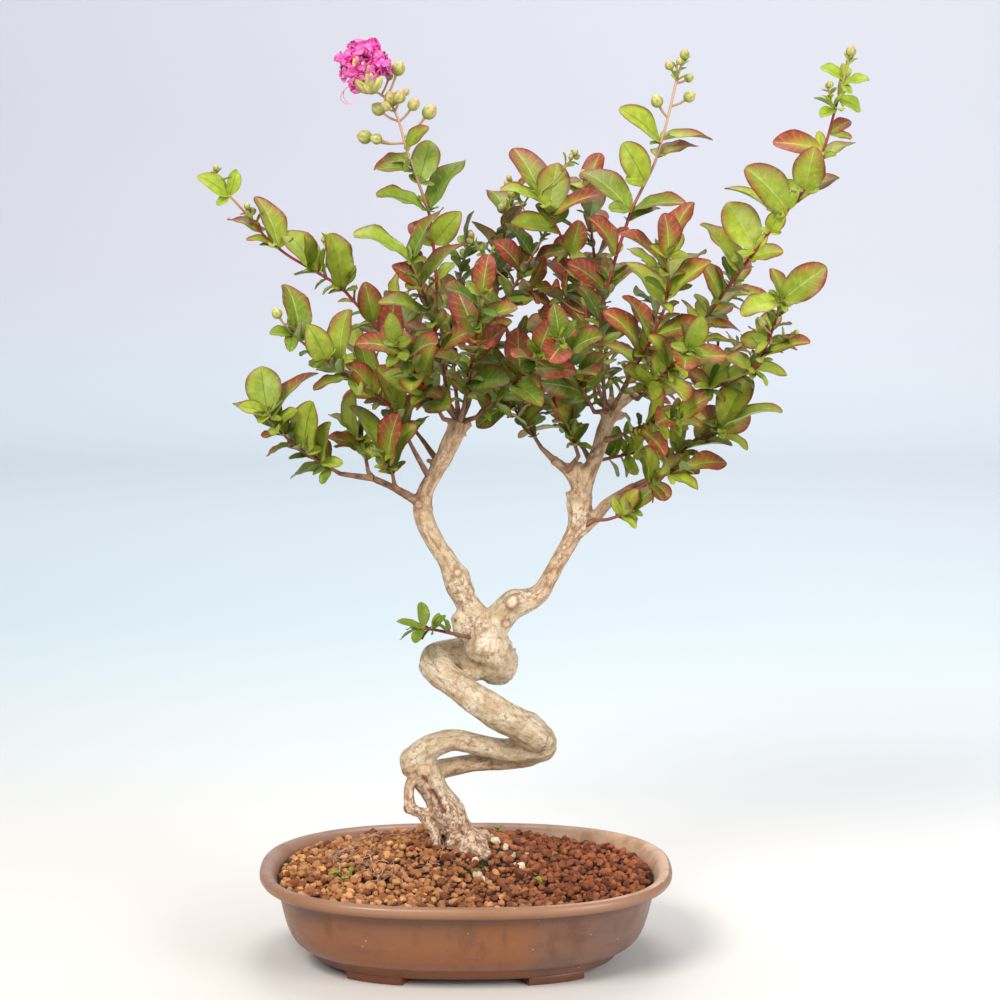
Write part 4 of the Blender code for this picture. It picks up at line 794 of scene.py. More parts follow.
def bud_material():
    """Flower buds and calyxes: the tint holds the height on the bud, its seam and how pink it is."""
    shader = Shader("flower_bud")
    height, seam, pink = shader.parts(shader.attribute("tint"))
    fine = shader.noise(1.0, 4.0)
    colour = shader.mix(height, srgb(126, 130, 48), srgb(188, 190, 110))
    blush = shader.times(pink, shader.ramp(height, 0.3, 1.0))
    colour = shader.mix(blush, colour, srgb(184, 118, 84))
    colour = shader.mix(shader.times(seam, 0.8), colour, srgb(98, 78, 32))
    roughness = shader.ramp(fine, 0.3, 0.7, 0.36, 0.5)
    return shader.finish(colour, roughness, fine, 0.2, 0.15, glow(0.1, (1.0, 1.0, 0.5)))


def bark_material():
    """Bark: the tint holds age, healed cut and darkness."""
    shader = Shader("bark")
    age, healed, dark = shader.parts(shader.attribute("tint"))
    grain = shader.attribute("grain")
    streaks = shader.noise(3.4, 6.0, 0.65, shader.stretched(grain, (0.4, 1, 1)))
    patches = shader.noise(13.0, 5.0, 0.6)
    speckle = shader.noise(2.0, 6.0, 0.75)
    flecks = shader.noise(3.2, 8.0, 0.8)
    seams = shader.cells(5.5, "DISTANCE_TO_EDGE", shader.wandering(4.0, 4.5))["Distance"]
    lines = shader.times(shader.ramp(seams, 0.03, 0.0), shader.ramp(patches, 0.5, 0.64))
    moss = shader.noise(24.0, 4.0, 0.6, shader.stretched(shader.place(), (1, 1, 1.4)))
    pale = shader.mix(shader.ramp(patches, 0.38, 0.62), srgb(180, 156, 122), srgb(210, 193, 165))
    tan = shader.mix(shader.ramp(streaks, 0.54, 0.34, 0.0, 0.85), pale, srgb(146, 117, 84))
    tan = shader.mix(shader.ramp(moss, 0.52, 0.66, 0.0, 0.4), tan, srgb(144, 130, 84))
    branch = shader.mix(shader.ramp(streaks, 0.35, 0.6), srgb(140, 108, 78), srgb(198, 168, 134))
    twig = shader.mix(shader.ramp(streaks, 0.35, 0.65), srgb(86, 54, 36), srgb(142, 100, 70))
    grown = shader.mix(shader.ramp(age, 0.55, 1.0), branch, tan)
    colour = shader.mix(shader.ramp(age, 0.0, 0.5), twig, grown)
    patchy = shader.ramp(patches, 0.4, 0.6, 0.35, 1.0)
    mottled = shader.times(shader.ramp(flecks, 0.52, 0.6, 0.0, 0.8), patchy)
    colour = shader.mix(mottled, colour, srgb(126, 88, 66))
    flakes = shader.noise(1.7, 6.0, 0.7, shader.stretched(grain, (0.45, 1, 1)))
    scaly = shader.times(shader.ramp(flakes, 0.56, 0.63), shader.ramp(patches, 0.52, 0.36))
    colour = shader.mix(shader.times(scaly, 0.8), colour, srgb(104, 66, 50))
    colour = shader.mix(shader.times(lines, 0.55), colour, srgb(84, 54, 40))
    colour = shader.mix(shader.ramp(speckle, 0.59, 0.71, 0.0, 0.75), colour, srgb(86, 56, 40))
    colour = shader.mix(shader.ramp(flecks, 0.42, 0.3, 0.0, 0.55), colour, srgb(228, 210, 186))
    cut = shader.mix(shader.ramp(flecks, 0.42, 0.58), srgb(236, 216, 194), srgb(200, 162, 132))
    colour = shader.mix(healed, colour, cut)
    rust = shader.mix(shader.ramp(streaks, 0.4, 0.6), srgb(136, 74, 50), srgb(76, 44, 32))
    colour = shader.mix(dark, colour, rust)
    height = shader.plus(shader.times(streaks, 0.6), shader.times(speckle, 0.5))
    height = shader.minus(height, shader.times(lines, 0.4))
    return shader.finish(colour, shader.ramp(speckle, 0.3, 0.7, 0.7, 0.92), height, 0.8, 1.1)


def petal_material():
    """Petals: the tint holds the share along the petal, its shade and its fold."""
    shader = Shader("petal")
    share, tone, fold = shader.parts(shader.attribute("tint"))
    fine = shader.noise(0.9, 4.0)
    deep = shader.mix(tone, srgb(196, 16, 120), srgb(232, 48, 156))
    colour = shader.mix(shader.ramp(share, 0.45, 1.0, 0.0, 0.6), deep, srgb(244, 104, 190))
    colour = shader.mix(shader.ramp(fold, 0.2, 0.9, 0.0, 0.4), colour, srgb(252, 150, 214))
    colour = shader.mix(shader.ramp(share, 0.3, 0.12), colour, srgb(240, 170, 190))
    roughness = shader.ramp(fine, 0.3, 0.7, 0.45, 0.65)
    return shader.finish(colour, roughness, fine, 0.3, 0.2, glow(0.4, (1.8, 0.4, 1.2)))


def plain_material(name, dark, light, size, roughness, strength=0.3):
    """A mottled material between two colours, shifted by the first number of the tint."""
    shader = Shader(name)
    shift, _, _ = shader.parts(shader.attribute("tint"))
    mottle = shader.noise(size, 4.0)
    colour = shader.mix(shader.plus(shift, shader.ramp(mottle, 0.3, 0.7, -0.25, 0.25), True), dark, light)
    return shader.finish(colour, roughness, mottle, strength, size / 4)


def grain_material():
    """Baked clay grains: the tint holds how damp, red and light they are, light below 0 for painted shade at
    the foot.
    """
    shader = Shader("clay_grain")
    damp, red, light = shader.parts(shader.attribute("tint"))
    pores = shader.noise(0.7, 5.0, 0.7)
    stains = shader.noise(2.2, 3.0)
    dry = shader.mix(light, srgb(112, 60, 28), srgb(224, 164, 104))
    wet = shader.mix(light, srgb(74, 34, 16), srgb(172, 98, 56))
    colour = shader.mix(damp, dry, wet)
    colour = shader.mix(shader.times(red, 0.45), colour, srgb(132, 62, 28))
    colour = shader.mix(shader.ramp(stains, 0.55, 0.75, 0.0, 0.5), colour, srgb(112, 62, 32))
    colour = shader.mix(shader.ramp(pores, 0.42, 0.28, 0.0, 0.6), colour, srgb(66, 30, 14))
    # Painted shade: light below 0 darkens the grain's foot towards a near-black brown
    colour = shader.mix(shader.ramp(light, 0.0, -0.9, 0.0, 0.85), colour, srgb(30, 13, 6))
    return shader.finish(colour, 0.92, pores, 0.7, 0.5)


def glaze_material():
    """Brown satin glaze: orange-brown at the left, greyer at the right end, where smoky glaze has a painted
    sheen, paler on the lip, and paler inside with a painted highlight to the right.
    """
    shader = Shader("pot_glaze")
    place = shader.place()
    x, _, z = shader.parts(place)
    clouds = shader.noise(70.0, 4.0, 0.5)
    streaks = shader.noise(16.0, 5.0, 0.6, shader.stretched(place, (1, 1, 0.3)))
    fine = shader.noise(1.2, 5.0, 0.65)
    # Greyer towards the right end: smoky glaze with a painted sheen
    drift = shader.plus(shader.ramp(x, -0.07, 0.12), shader.ramp(clouds, 0.35, 0.65, -0.35, 0.35), True)
    colour = shader.mix(drift, srgb(134, 84, 52), srgb(116, 86, 72))
    smoke = shader.noise(34.0, 5.0, 0.6, shader.stretched(place, (1, 1, 1.6)))
    colour = shader.mix(shader.ramp(smoke, 0.5, 0.66, 0.0, 0.6), colour, srgb(96, 70, 60))
    colour = shader.mix(shader.ramp(streaks, 0.5, 0.7, 0.0, 0.5), colour, srgb(100, 58, 34))
    lip = shader.times(shader.ramp(z, 0.052, 0.061), shader.ramp(clouds, 0.35, 0.6, 0.45, 0.9))
    colour = shader.mix(lip, colour, srgb(152, 110, 82))
    wall = shader.times(shader.ramp(z, 0.05, 0.056), shader.attribute_part("tint"))
    # The inner wall turns paler towards the right: an ochre stain and a painted highlight where the light
    # falls on it
    inner = shader.mix(shader.ramp(x, -0.04, 0.1), srgb(146, 112, 92), srgb(202, 164, 132))
    inner = shader.mix(shader.ramp(streaks, 0.45, 0.65, 0.0, 0.5), inner, srgb(128, 88, 62))
    colour = shader.mix(wall, colour, inner)
    shadow_band = shader.times(shader.ramp(z, 0.047, 0.053), shader.ramp(z, 0.058, 0.054))
    colour = shader.mix(shader.times(shadow_band, 0.55), colour, srgb(84, 60, 52))
    foot = shader.ramp(z, 0.012, 0.004, 0.0, 0.6)
    colour = shader.mix(foot, colour, srgb(98, 50, 28))
    colour = shader.mix(shader.ramp(fine, 0.5, 0.75, 0.0, 0.3), colour, srgb(164, 108, 68))
    specks = shader.cells(9.0)
    speck = shader.times(shader.ramp(specks["Distance"], 0.06, 0.03), 0.85)
    colour = shader.mix(speck, colour, srgb(214, 190, 160))
    pits = shader.cells(6.0, vector=shader.stretched(place, (1, 1, 1.2)))
    pit = shader.times(shader.ramp(pits["Distance"], 0.06, 0.03), 0.7)
    colour = shader.mix(pit, colour, srgb(60, 36, 26))
    height = shader.plus(fine, shader.times(streaks, 1.5))
    roughness = shader.ramp(streaks, 0.3, 0.7, 0.28, 0.44)
    return shader.finish(colour, roughness, height, 0.25, 0.3, {"Specular IOR Level": 0.4})


# Leaves


Pose = namedtuple("Pose", "base axis normal length width stations")
Look = namedtuple("Look", "tone red young")


def blade_rows(pose, wave=0.0):
    """Points of a solid leaf's upper face in the source: its foot, shoulders, widest row and tip."""
    side = pose.axis.cross(pose.normal)
    rows = [[pose.base]]
    for (along, half_share), ripple in zip(pose.stations, (wave, -wave)):
        half = pose.width * half_share
        rise = BLADE_ARCH * 4 * along * (1 - along) * pose.length
        middle = pose.base + pose.axis * (along * pose.length) + pose.normal * rise
        left = middle - side * half + pose.normal * (BLADE_FOLD * half + ripple)
        right = middle + side * half + pose.normal * (BLADE_FOLD * half - ripple)
        rows.append([left, middle, right] if len(rows) == len(pose.stations) else [left, right])
    rows.append([pose.base + pose.axis * pose.length])
    return rows


def route_length(route):
    points = vectors(route)
    return sum((after - before).length for before, after in zip(points, points[1:]))


def point_along(route, share):
    """The point at this share of a route's length, and the route's direction there."""
    points = vectors(route)
    spans = [(after - before).length for before, after in zip(points, points[1:])]
    left = share * sum(spans)
    for before, after, span in zip(points, points[1:], spans):
        if left <= span or after is points[-1]:
            heading = (after - before).normalized()
            return before + heading * min(left, span), heading
        left -= span


def leaf_foot(route, share):
    lowest = LOWEST_LEAF / route_length(route)
    return point_along(route, max(lowest, min(share, 0.99)))


def facing(axis, wished):
    """The direction nearest to the wished one that is square to the axis."""
    return (wished - axis * wished.dot(axis)).normalized()


def seen_leaf_poses(shoot, number):
    """The source's ways to hold a leaf of a seen shoot, in the order that it tries them."""
    along, angle, seen_length, seen_width = shoot.leaves[number]
    base, _ = leaf_foot(shoot.route, along)
    turn = math.radians(angle)
    natural = math.degrees(math.acos(seen_length / max(seen_length * 1.08, SHORTEST_LEAF)))
    preferred = natural * (-1) ** number
    for shrink in SHRINKS:
        for lean in LEANS:
            tilt = math.radians(max(-STEEPEST_LEAN, min(STEEPEST_LEAN, preferred + lean)))
            axis = Vector((math.cos(turn) * math.cos(tilt), math.sin(tilt), math.sin(turn) * math.cos(tilt)))
            length = min(shrink * seen_length / math.cos(tilt), LONGEST_LEAF)
            width = max(seen_width * shrink, WIDTH_OF_LENGTH * length)
            roll = math.acos(min(1.0, seen_width * shrink / width))
            front = facing(axis, Vector((0, -1, 0.2)))
            rolled = [Matrix.Rotation(sign * roll, 3, axis) @ front for sign in (-1, 1)]
            normal = max(rolled, key=lambda direction: direction.z)
            stations = LARGE_BLADE if length > SMALL_LEAF else SMALL_BLADE
            yield Pose(base, axis, normal, length, width, stations)


def rule_leaf_poses(shoot, number, count, draw):
    """The source's ways to hold a leaf of a shoot that has no list of leaves."""
    base, heading = leaf_foot(shoot.route, 1 - 0.85 * number / count)
    length = draw.uniform(*RULE_LEAF_LENGTHS) * (0.75 if number == 0 else 1.0)
    turn = GOLDEN_ANGLE * number + draw.uniform(-0.4, 0.4)
    spread = LEAF_SPREAD * (0.5 if number == 0 else 1.0)
    across = facing(heading, Vector((0.3, 0.2, 1)))
    outward = Vector((base.x - PLANT_MIDDLE[0], base.y, 0)).normalized()
    for shrink in SHRINKS:
        for swing in LEANS + WIDE_SWINGS:
            side = Matrix.Rotation(turn + math.radians(swing), 3, heading) @ across
            axis = (heading * math.cos(spread) + side * math.sin(spread)).normalized()
            normal = facing(axis, outward * 0.4 + heading * 0.3 + Vector((0, -0.5, 0.8)))
            shrunk = length * shrink
            yield Pose(base, axis, normal, shrunk, shrunk * WIDTH_OF_LENGTH, SMALL_BLADE)


def corner_tree(node):
    """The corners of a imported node, to look up points in millimetres from the pot's centre."""
    middle = Vector((*PLANT_MIDDLE, 0))
    return tree_of([vertex.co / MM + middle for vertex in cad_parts[node].data.vertices])


def pose_in_node(poses, tree, wave=0.0):
    """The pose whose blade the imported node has, so that the fine blade lies where the solid one does."""
    for pose in poses:
        rows = blade_rows(pose, wave)
        if all(tree.find(point)[2] < SAME_PLACE for point in rows[-2] + rows[-1]):
            return pose
    return None


Grid = namedtuple("Grid", "along across tops bottoms places")


def leaf_grid(along, across):
    """The rows and columns of a blade, with the faces and places that they give."""
    along, across = np.array(along), np.array(across)
    return Grid(along, across, *sheet_faces(len(along), len(across)), sheet_places(along, across))


LARGE_GRID = leaf_grid(
    (0, 0.05, 0.12, 0.2, 0.3, 0.4, 0.5, 0.6, 0.7, 0.79, 0.87, 0.94, 0.985),
    (-1, -0.72, -0.42, -0.15, 0, 0.15, 0.42, 0.72, 1),
)
SMALL_GRID = leaf_grid((0, 0.08, 0.2, 0.35, 0.5, 0.65, 0.8, 0.92), (-1, -0.55, 0, 0.55, 1))
PETIOLE_HALF_WIDTH = 0.55
LEAF_FOOT_TAPER = 0.72
LEAF_TIP_TAPERS = (0.52, 0.74)
LEAF_WAVES = (1.6, 2.6)
LEAF_RIPPLES = (0.02, 0.055)
LEAF_FOLDS = (0.75, 1.15)
LEAF_DROOPS = (0.0, 0.5)
LEAF_TWISTS = (-0.35, 0.35)
SMALL_WIDTHS = (0.42, 0.56)
LEAF_TOP, _, STEM, BUD = range(4)


def add_leaf(patch, pose, look, draw, grid=LARGE_GRID):
    """An egg-shaped blade, folded, arched and a little waved, with a sunken midrib."""
    v = grid.along[:, None]
    u = grid.across[None]
    taper = draw.uniform(*LEAF_TIP_TAPERS)
    widest = LEAF_FOOT_TAPER / (LEAF_FOOT_TAPER + taper)
    fullest = widest**LEAF_FOOT_TAPER * (1 - widest) ** taper
    profile = v**LEAF_FOOT_TAPER * (1 - v) ** taper / fullest
    half = np.maximum(pose.width / 2 * profile, PETIOLE_HALF_WIDTH)
    waves = draw.uniform(*LEAF_WAVES)
    phase = draw.uniform(0, FULL_TURN)
    ripple = np.sin(2 * np.pi * waves * v + phase + np.where(u > 0, 1.7, 0)) * u**2
    x = u * half
    z = BLADE_FOLD * draw.uniform(*LEAF_FOLDS) * (np.sqrt(x**2 + 0.6) - 0.77)
    z = z + BLADE_ARCH * 4 * v * (1 - v) * pose.length
    z = z + ripple * draw.uniform(*LEAF_RIPPLES) * pose.width
    z = z - draw.uniform(*LEAF_DROOPS) * pose.length * np.maximum(0, v - 0.65) ** 2
    z = z - 0.22 * np.exp(-((u / 0.1) ** 2)) * np.minimum(1, 4 * (1 - v))
    twist = draw.uniform(*LEAF_TWISTS) * v
    x, z = x * np.cos(twist) - z * np.sin(twist), x * np.sin(twist) + z * np.cos(twist)
    inner = u[:, 1:-1]
    thickness = 0.12 + 0.2 * (1 - inner**2) + 0.35 * np.exp(-((inner / 0.1) ** 2)) * (1 - 0.7 * v)
    points = sheet_points(pose, grid.along, x, z, thickness)
    patch.add(points, grid.tops, LEAF_TOP, look, place=grid.places, backs=grid.bottoms)


# Where the shoots' tips are still fresh green: the middle in X and the lowest height
YOUNG_PLACES = ((245, 540), (-165, 505))
YOUNG_REACH = 30
YOUNG_SHARE = 0.86
# The middle height of the dense crown, and how far it reaches sideways and up
CROWN_HEIGHT = 430
CROWN_REACH = (85, 75)
# Leaves below this height are plain green, and leaves beyond this X are lighter, with painted light for the
# light that falls on the crown's right side
GREEN_BELOW = LEFT_HEAD[2] - 100
LIGHTER_BEYOND = 110
# Where a small leaf or a sprig first turns, seen along its stem: to the front and up
FRONT_UP = Vector((0.3, -0.6, 0.7))


def clamped(value):
    return min(1.0, max(0.0, value))


def leaf_look(point, share, draw):
    """Redder inside the crown, yellow-green outside, and fresh green at the tips of the young shoots. Leaves
    at the right get painted light: a lighter tone.
    """
    aside = (point.x - PLANT_MIDDLE[0]) / CROWN_REACH[0]
    above = (point.z - CROWN_HEIGHT) / CROWN_REACH[1]
    inside = math.exp(-(aside**2) - above**2)
    on_right = 1.0 if point.x > LIGHTER_BEYOND else 0.0
    if point.z < GREEN_BELOW:
        red, bright = 0.1, 0.15
    else:
        red = clamped(0.52 + 0.3 * inside + 0.08 * on_right + draw.uniform(-0.36, 0.36))
        # Painted light: leaves on the right get a lighter tone
        bright = 0.72 - 0.4 * inside + 0.28 * on_right
    by_tip = any(abs(point.x - x) < YOUNG_REACH and point.z > z for x, z in YOUNG_PLACES)
    young = 0.65 if share > YOUNG_SHARE and by_tip else 0.0
    tone = clamped(bright + draw.uniform(-0.35, 0.3))
    return Look(tone, red * (1 - young), young)


def stem_shape(shoot):
    """Points and radii of a shoot's stem, from inside the end of its twig."""
    first, last = STEM_RADIUS
    start, after = vectors(shoot.route[:2])
    heading = (after - start).normalized()
    route = [start - heading * 1.2] + vectors(shoot.route)
    points = rounded_route(route, 6.0, 3.0)
    lengths = lengths_along(points)
    return points, first + (last - first) * lengths / lengths[-1]


def nearest_on_route(route, point):
    places = [point_along(route, index / ROUTE_STEPS)[0] for index in range(ROUTE_STEPS + 1)]
    return min(places, key=lambda place: (place - point).length)


ROUTE_STEPS = 60
AXIL_SHARE = 0.8
AXIL_LENGTHS = (8.0, 19.0)
SIDE_START = 6.0
SIDE_LENGTHS = (9.0, 21.0)
SIDE_GAPS = (6.5, 11.0)
SIDE_CEILING = 468.0
SIDE_FLOOR = LEFT_HEAD[2] - 60
# Sprigs of leaves and buds. Their leaves are small and fresh unless a row gives another length.
Sprig = namedtuple("Sprig", "shoot tip leaves buds length", defaults=(9.5,))
SPRIGS = (
    Sprig("long_left_shoot", (-166, 27, 531), 4, 2),
    Sprig("long_left_shoot", (-145, 28, 505), 5, 2),
    Sprig("long_left_shoot", (-92, 24, 486), 3, 3),
    Sprig("mid_cross_shoot", (4, 16, 487), 7, 3),
    Sprig("mid_cross_shoot", (29, 26, 524), 7, 3),
    Sprig("centre_shoot", (72, 26, 541), 5, 4),
    Sprig("right_bud_shoot", (207, -42, 455), 6, 3),
    Sprig("right_bud_shoot", (213, -38, 428), 5, 1),
    Sprig("tall_right_shoot", (236, -6, 586), 5, 2),
    Sprig("tall_centre_shoot", (138, -4, 601), 5, 1),
    Sprig("mid_cross_shoot", (48, 10, 454), 5, 0, 25.0),
    Sprig("mid_cross_shoot", (52, 2, 428), 5, 0, 22.0),
    Sprig("centre_shoot", (60, 10, 450), 4, 0, 24.0),
    Sprig("mid_cross_shoot", (37, 0, 420), 4, 0, 20.0),
)
FRESH_LENGTH = 12.0
TIP_LEAVES = 5
TIP_LENGTHS = (4.0, 9.0)
BUD_SEAMS = 6
STALK_STEP = 1.5
STALK_SIDES = 7
STEM_SIDES = 8
# Buds behind and between those of the flower shoot's table: (x, y, z, radius)
SMALL_BUDS = ((-48, -10, 579, 4.2), (-51, -14, 574, 3.4), (-49, 0, 593, 2.6), (-38, -8, 583, 2.4))
BALL_POINTS, BALL_FACES = sphere_unit(3)


def add_bud(patch, centre, heading, radius, draw, stretch=1.0):
    """A round bud with six seams that meet at a small point, on its stalk's side a little narrower."""
    ahead = heading.normalized()
    side = facing(ahead, Vector((0.3, -0.8, 0.4)))
    up = ahead.cross(side)
    height = BALL_POINTS[:, 2]
    turn = np.arctan2(BALL_POINTS[:, 1], BALL_POINTS[:, 0])
    seam = np.exp(-((np.abs((turn * BUD_SEAMS / (2 * np.pi)) % 1 - 0.5) / 0.12) ** 2)) * (height > -0.2)
    swell = 1 + 0.05 * np.cos(turn * BUD_SEAMS) * (1 - height**2) - 0.08 * seam
    level = BALL_POINTS * swell[:, None] * radius
    level = level * (1 - 0.25 * (stretch - 1) * height)[:, None]
    rise = radius * stretch * (1.06 * height + 5 * np.maximum(0, height - 0.8) ** 2)
    points = np.array(centre) + level[:, :1] * np.array(side) + level[:, 1:2] * np.array(up)
    points = points + rise[:, None] * np.array(ahead)
    pink = draw.uniform(0.0, 0.7)
    tint = np.stack([(height + 1) / 2, seam, np.full(len(height), pink)], axis=1)
    patch.add(points, BALL_FACES, BUD, tint)


def add_stalk(patch, foot, centre, radius, share, tan=0.5):
    """A thin stalk that swells under what it carries, from green to tan."""
    foot, centre = Vector(foot), Vector(centre)
    bend = (foot + centre) / 2 + Vector((0, 0, -0.08 * (centre - foot).length))
    points = smooth_line((foot, bend, centre), STALK_STEP)
    shares = np.linspace(0, 1, len(points))
    skin, faces, grain, _ = tube(points, radius * (1 + 0.5 * shares**4), STALK_SIDES)
    patch.add(skin, faces, STEM, (share, tan, 0.0), grain)


# The shoot low on the trunk, whose leaves are narrower
SLENDER_SHOOT = "trunk_sprig"
SLENDER_SHARE = 0.62
# The lowest shoots have brown stems: their first point is below this height
BROWN_BELOW = 336


def add_stem(patch, shoot):
    skin, faces, grain, along = tube(*stem_shape(shoot), STEM_SIDES)
    pale = 1.0 if len(shoot.buds) > 2 else 0.0
    brown = 0.8 if shoot.route[0][2] < BROWN_BELOW and shoot.name != SLENDER_SHOOT else 0.0
    tint = np.stack([along, np.full(len(along), pale), np.full(len(along), brown)], axis=1)
    patch.add(skin, faces, STEM, tint, grain)


def placed_leaves(shoot, tree):
    """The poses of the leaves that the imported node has."""
    if shoot.leaves is None:
        draw = random.Random(SEED + len(shoot.name) * 7 + SHOOTS.index(shoot))
        count = round(route_length(shoot.route) / RULE_LEAF_SPACING)
        choices = [rule_leaf_poses(shoot, number, count, draw) for number in range(count)]
    else:
        choices = [seen_leaf_poses(shoot, number) for number in range(len(shoot.leaves))]
    return [pose for pose in (pose_in_node(poses, tree) for poses in choices) if pose]


def add_axil_leaves(patch, pose, look, draw):
    """Small leaves that open beside the foot of a grown one."""
    for side in (-1, 1):
        if draw.random() > AXIL_SHARE:
            continue
        turn = side * draw.uniform(0.7, 1.5)
        axis = Matrix.Rotation(turn, 3, pose.normal) @ pose.axis
        axis = (axis + pose.normal * draw.uniform(-0.3, 0.5)).normalized()
        normal = facing(axis, pose.normal + Vector((draw.gauss(0, 0.5), draw.gauss(0, 0.5), 0.6)))
        length = draw.uniform(*AXIL_LENGTHS)
        small = Pose(pose.base, axis, normal, length, length * draw.uniform(*SMALL_WIDTHS), None)
        small_look = Look(look.tone, draw.uniform(0, 0.8) * look.red, look.young)
        add_leaf(patch, small, small_look, draw, SMALL_GRID)


def add_side_leaves(patch, shoot, draw):
    """Pairs of small shaded leaves along the part of a stem that runs inside the crown."""
    length = route_length(shoot.route)
    place = SIDE_START
    while place < length:
        foot, heading = point_along(shoot.route, place / length)
        place += draw.uniform(*SIDE_GAPS)
        if not SIDE_FLOOR <= foot.z <= SIDE_CEILING:
            continue
        across = facing(heading, FRONT_UP)
        turn = draw.uniform(0, FULL_TURN)
        for side in range(2):
            out = Matrix.Rotation(turn + math.pi * side, 3, heading) @ across
            axis = (heading * draw.uniform(0.3, 1.0) + out).normalized()
            normal = facing(axis, heading + Vector((0, -0.4, 0.8)))
            size = draw.uniform(*SIDE_LENGTHS)
            pose = Pose(foot, axis, normal, size, size * draw.uniform(*SMALL_WIDTHS), None)
            look = Look(draw.uniform(0.1, 0.8), draw.uniform(0.1, 0.8), 0.0)
            add_leaf(patch, pose, look, draw, SMALL_GRID)


def add_sprig(patch, shoot, sprig, draw):
    """A thin green stem from the shoot to a tip, with leaves and buds at its end."""
    tip = Vector(sprig.tip)
    foot = nearest_on_route(shoot.route, tip - Vector((0, 0, 14)))
    add_stalk(patch, foot, tip, 0.55, 0.95, 0.3)
    heading = (tip - foot).normalized()
    side = facing(heading, FRONT_UP)
    reach = (tip - foot).length
    fresh = sprig.length < FRESH_LENGTH
    for number in range(sprig.leaves):
        out = Matrix.Rotation(GOLDEN_ANGLE * number + 0.6, 3, heading) @ side
        axis = (heading * draw.uniform(0.3, 0.9) + out).normalized()
        size = sprig.length * draw.uniform(0.74, 1.26) * (1 - 0.07 * number)
        base = tip - heading * min(reach * 0.9, 2.6 * (sprig.leaves - number))
        width = size * (0.46 if fresh else 0.54)
        pose = Pose(base, axis, facing(axis, heading + Vector((0, -0.3, 0.5))), size, width, None)
        look = Look(0.9, draw.uniform(0, 0.25), 0.8) if fresh else leaf_look(base, 0.0, draw)
        add_leaf(patch, pose, look, draw, SMALL_GRID)
    for number in range(sprig.buds):
        out = Matrix.Rotation(2.1 * number, 3, heading) @ side
        centre = tip + heading * (2.0 - 1.4 * number) + out * 1.9
        radius = draw.uniform(1.7, 2.4)
        add_bud(patch, centre, heading + out * 0.5, radius, draw)


def add_tip(patch, shoot, draw):
    """The newest small leaves around the end of a shoot."""
    end = Vector(shoot.route[-1])
    heading = (end - Vector(shoot.route[-2])).normalized()
    side = facing(heading, FRONT_UP)
    for number in range(TIP_LEAVES):
        out = Matrix.Rotation(GOLDEN_ANGLE * number, 3, heading) @ side
        axis = (heading * draw.uniform(0.7, 1.4) + out).normalized()
        length = draw.uniform(*TIP_LENGTHS)
        pose = Pose(end - heading * (1.2 * number), axis, facing(axis, heading), length, length * 0.45, None)
        add_leaf(patch, pose, Look(0.8, draw.uniform(0, 0.4), 0.6), draw, SMALL_GRID)


def add_stalked_bud(patch, route, bud, drop, thickness, draw):
    """A bud on a stalk that leaves the stem below it, by this many times the bud's radius."""
    centre, radius = Vector(bud[:3]), bud[3]
    foot = nearest_on_route(route, centre - Vector((0, 0, drop * radius)))
    add_stalk(patch, foot, centre, thickness, 0.9)
    add_bud(patch, centre, centre - foot + Vector((0, 0, 2)), radius, draw)


def make_shoot(shoot, materials):
    patch = Patch()
    add_stem(patch, shoot)
    start = Vector(shoot.route[0])
    reach = (Vector(shoot.route[-1]) - start).length
    for number, pose in enumerate(placed_leaves(shoot, corner_tree(shoot.name))):
        draw = random.Random(f"{shoot.name} leaf {number}")
        share = (pose.base - start).length / reach
        look = leaf_look(pose.base, share, draw)
        if shoot.name == SLENDER_SHOOT:
            pose = pose._replace(width=pose.width * SLENDER_SHARE)
        add_leaf(patch, pose, look, draw)
        add_axil_leaves(patch, pose, look, draw)
    for number, bud in enumerate(shoot.buds):
        add_stalked_bud(patch, shoot.route, bud, 2.4, 0.8, random.Random(f"{shoot.name} bud {number}"))
    add_side_leaves(patch, shoot, random.Random(shoot.name + " sides"))
    for number, sprig in enumerate(SPRIGS):
        if sprig.shoot == shoot.name:
            add_sprig(patch, shoot, sprig, random.Random(f"sprig {number}"))
    if shoot.name == "flower_shoot":
        add_calyx(patch)
    else:
        add_tip(patch, shoot, random.Random(shoot.name + " tip"))
    piece = patch.build(shoot.name + "_fine", materials)
    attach(piece, "root")
    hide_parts(shoot.name)


def add_calyx(patch):
    """The open green cup in front of the bloom, with fleshy pointed lobes, and the buds crowded under it."""
    for number, (tip, radius) in enumerate(CALYX_LOBES):
        foot, tip = Vector(CALYX_FOOT), Vector(tip)
        middle = foot.lerp(tip, 0.55)
        stretch = (tip - foot).length / (2 * radius)
        add_bud(patch, middle, tip - foot, radius, random.Random(f"lobe {number}"), stretch)
    add_stalk(patch, FLOWER_STEM_END, CALYX_FOOT, 1.1, 0.9)
    for number, bud in enumerate(SMALL_BUDS):
        add_stalked_bud(patch, SHOOTS[0].route, bud, 2.0, 0.7, random.Random(f"small bud {number}"))


# Bloom


PETAL_ALONG = np.linspace(0, 0.98, 19)
PETAL_ACROSS = np.linspace(-1, 1, 19)
PETAL_TOPS, PETAL_BOTTOMS = sheet_faces(len(PETAL_ALONG), len(PETAL_ACROSS))
PETAL_PLACES = sheet_places(PETAL_ALONG, PETAL_ACROSS)
PETAL_SKIN, STAMEN_THREAD, ANTHER = range(3)
INNER_PETALS = 44
INNER_LENGTHS = (11.5, 18.5)
INNER_WIDTHS = (9, 13)
BLOOM_CORE_RADIUS = 5.2
PETAL_THICKNESS = 0.28
THREAD_STEP = 1.2
THREAD_SIDES = 6
STAMENS = 6
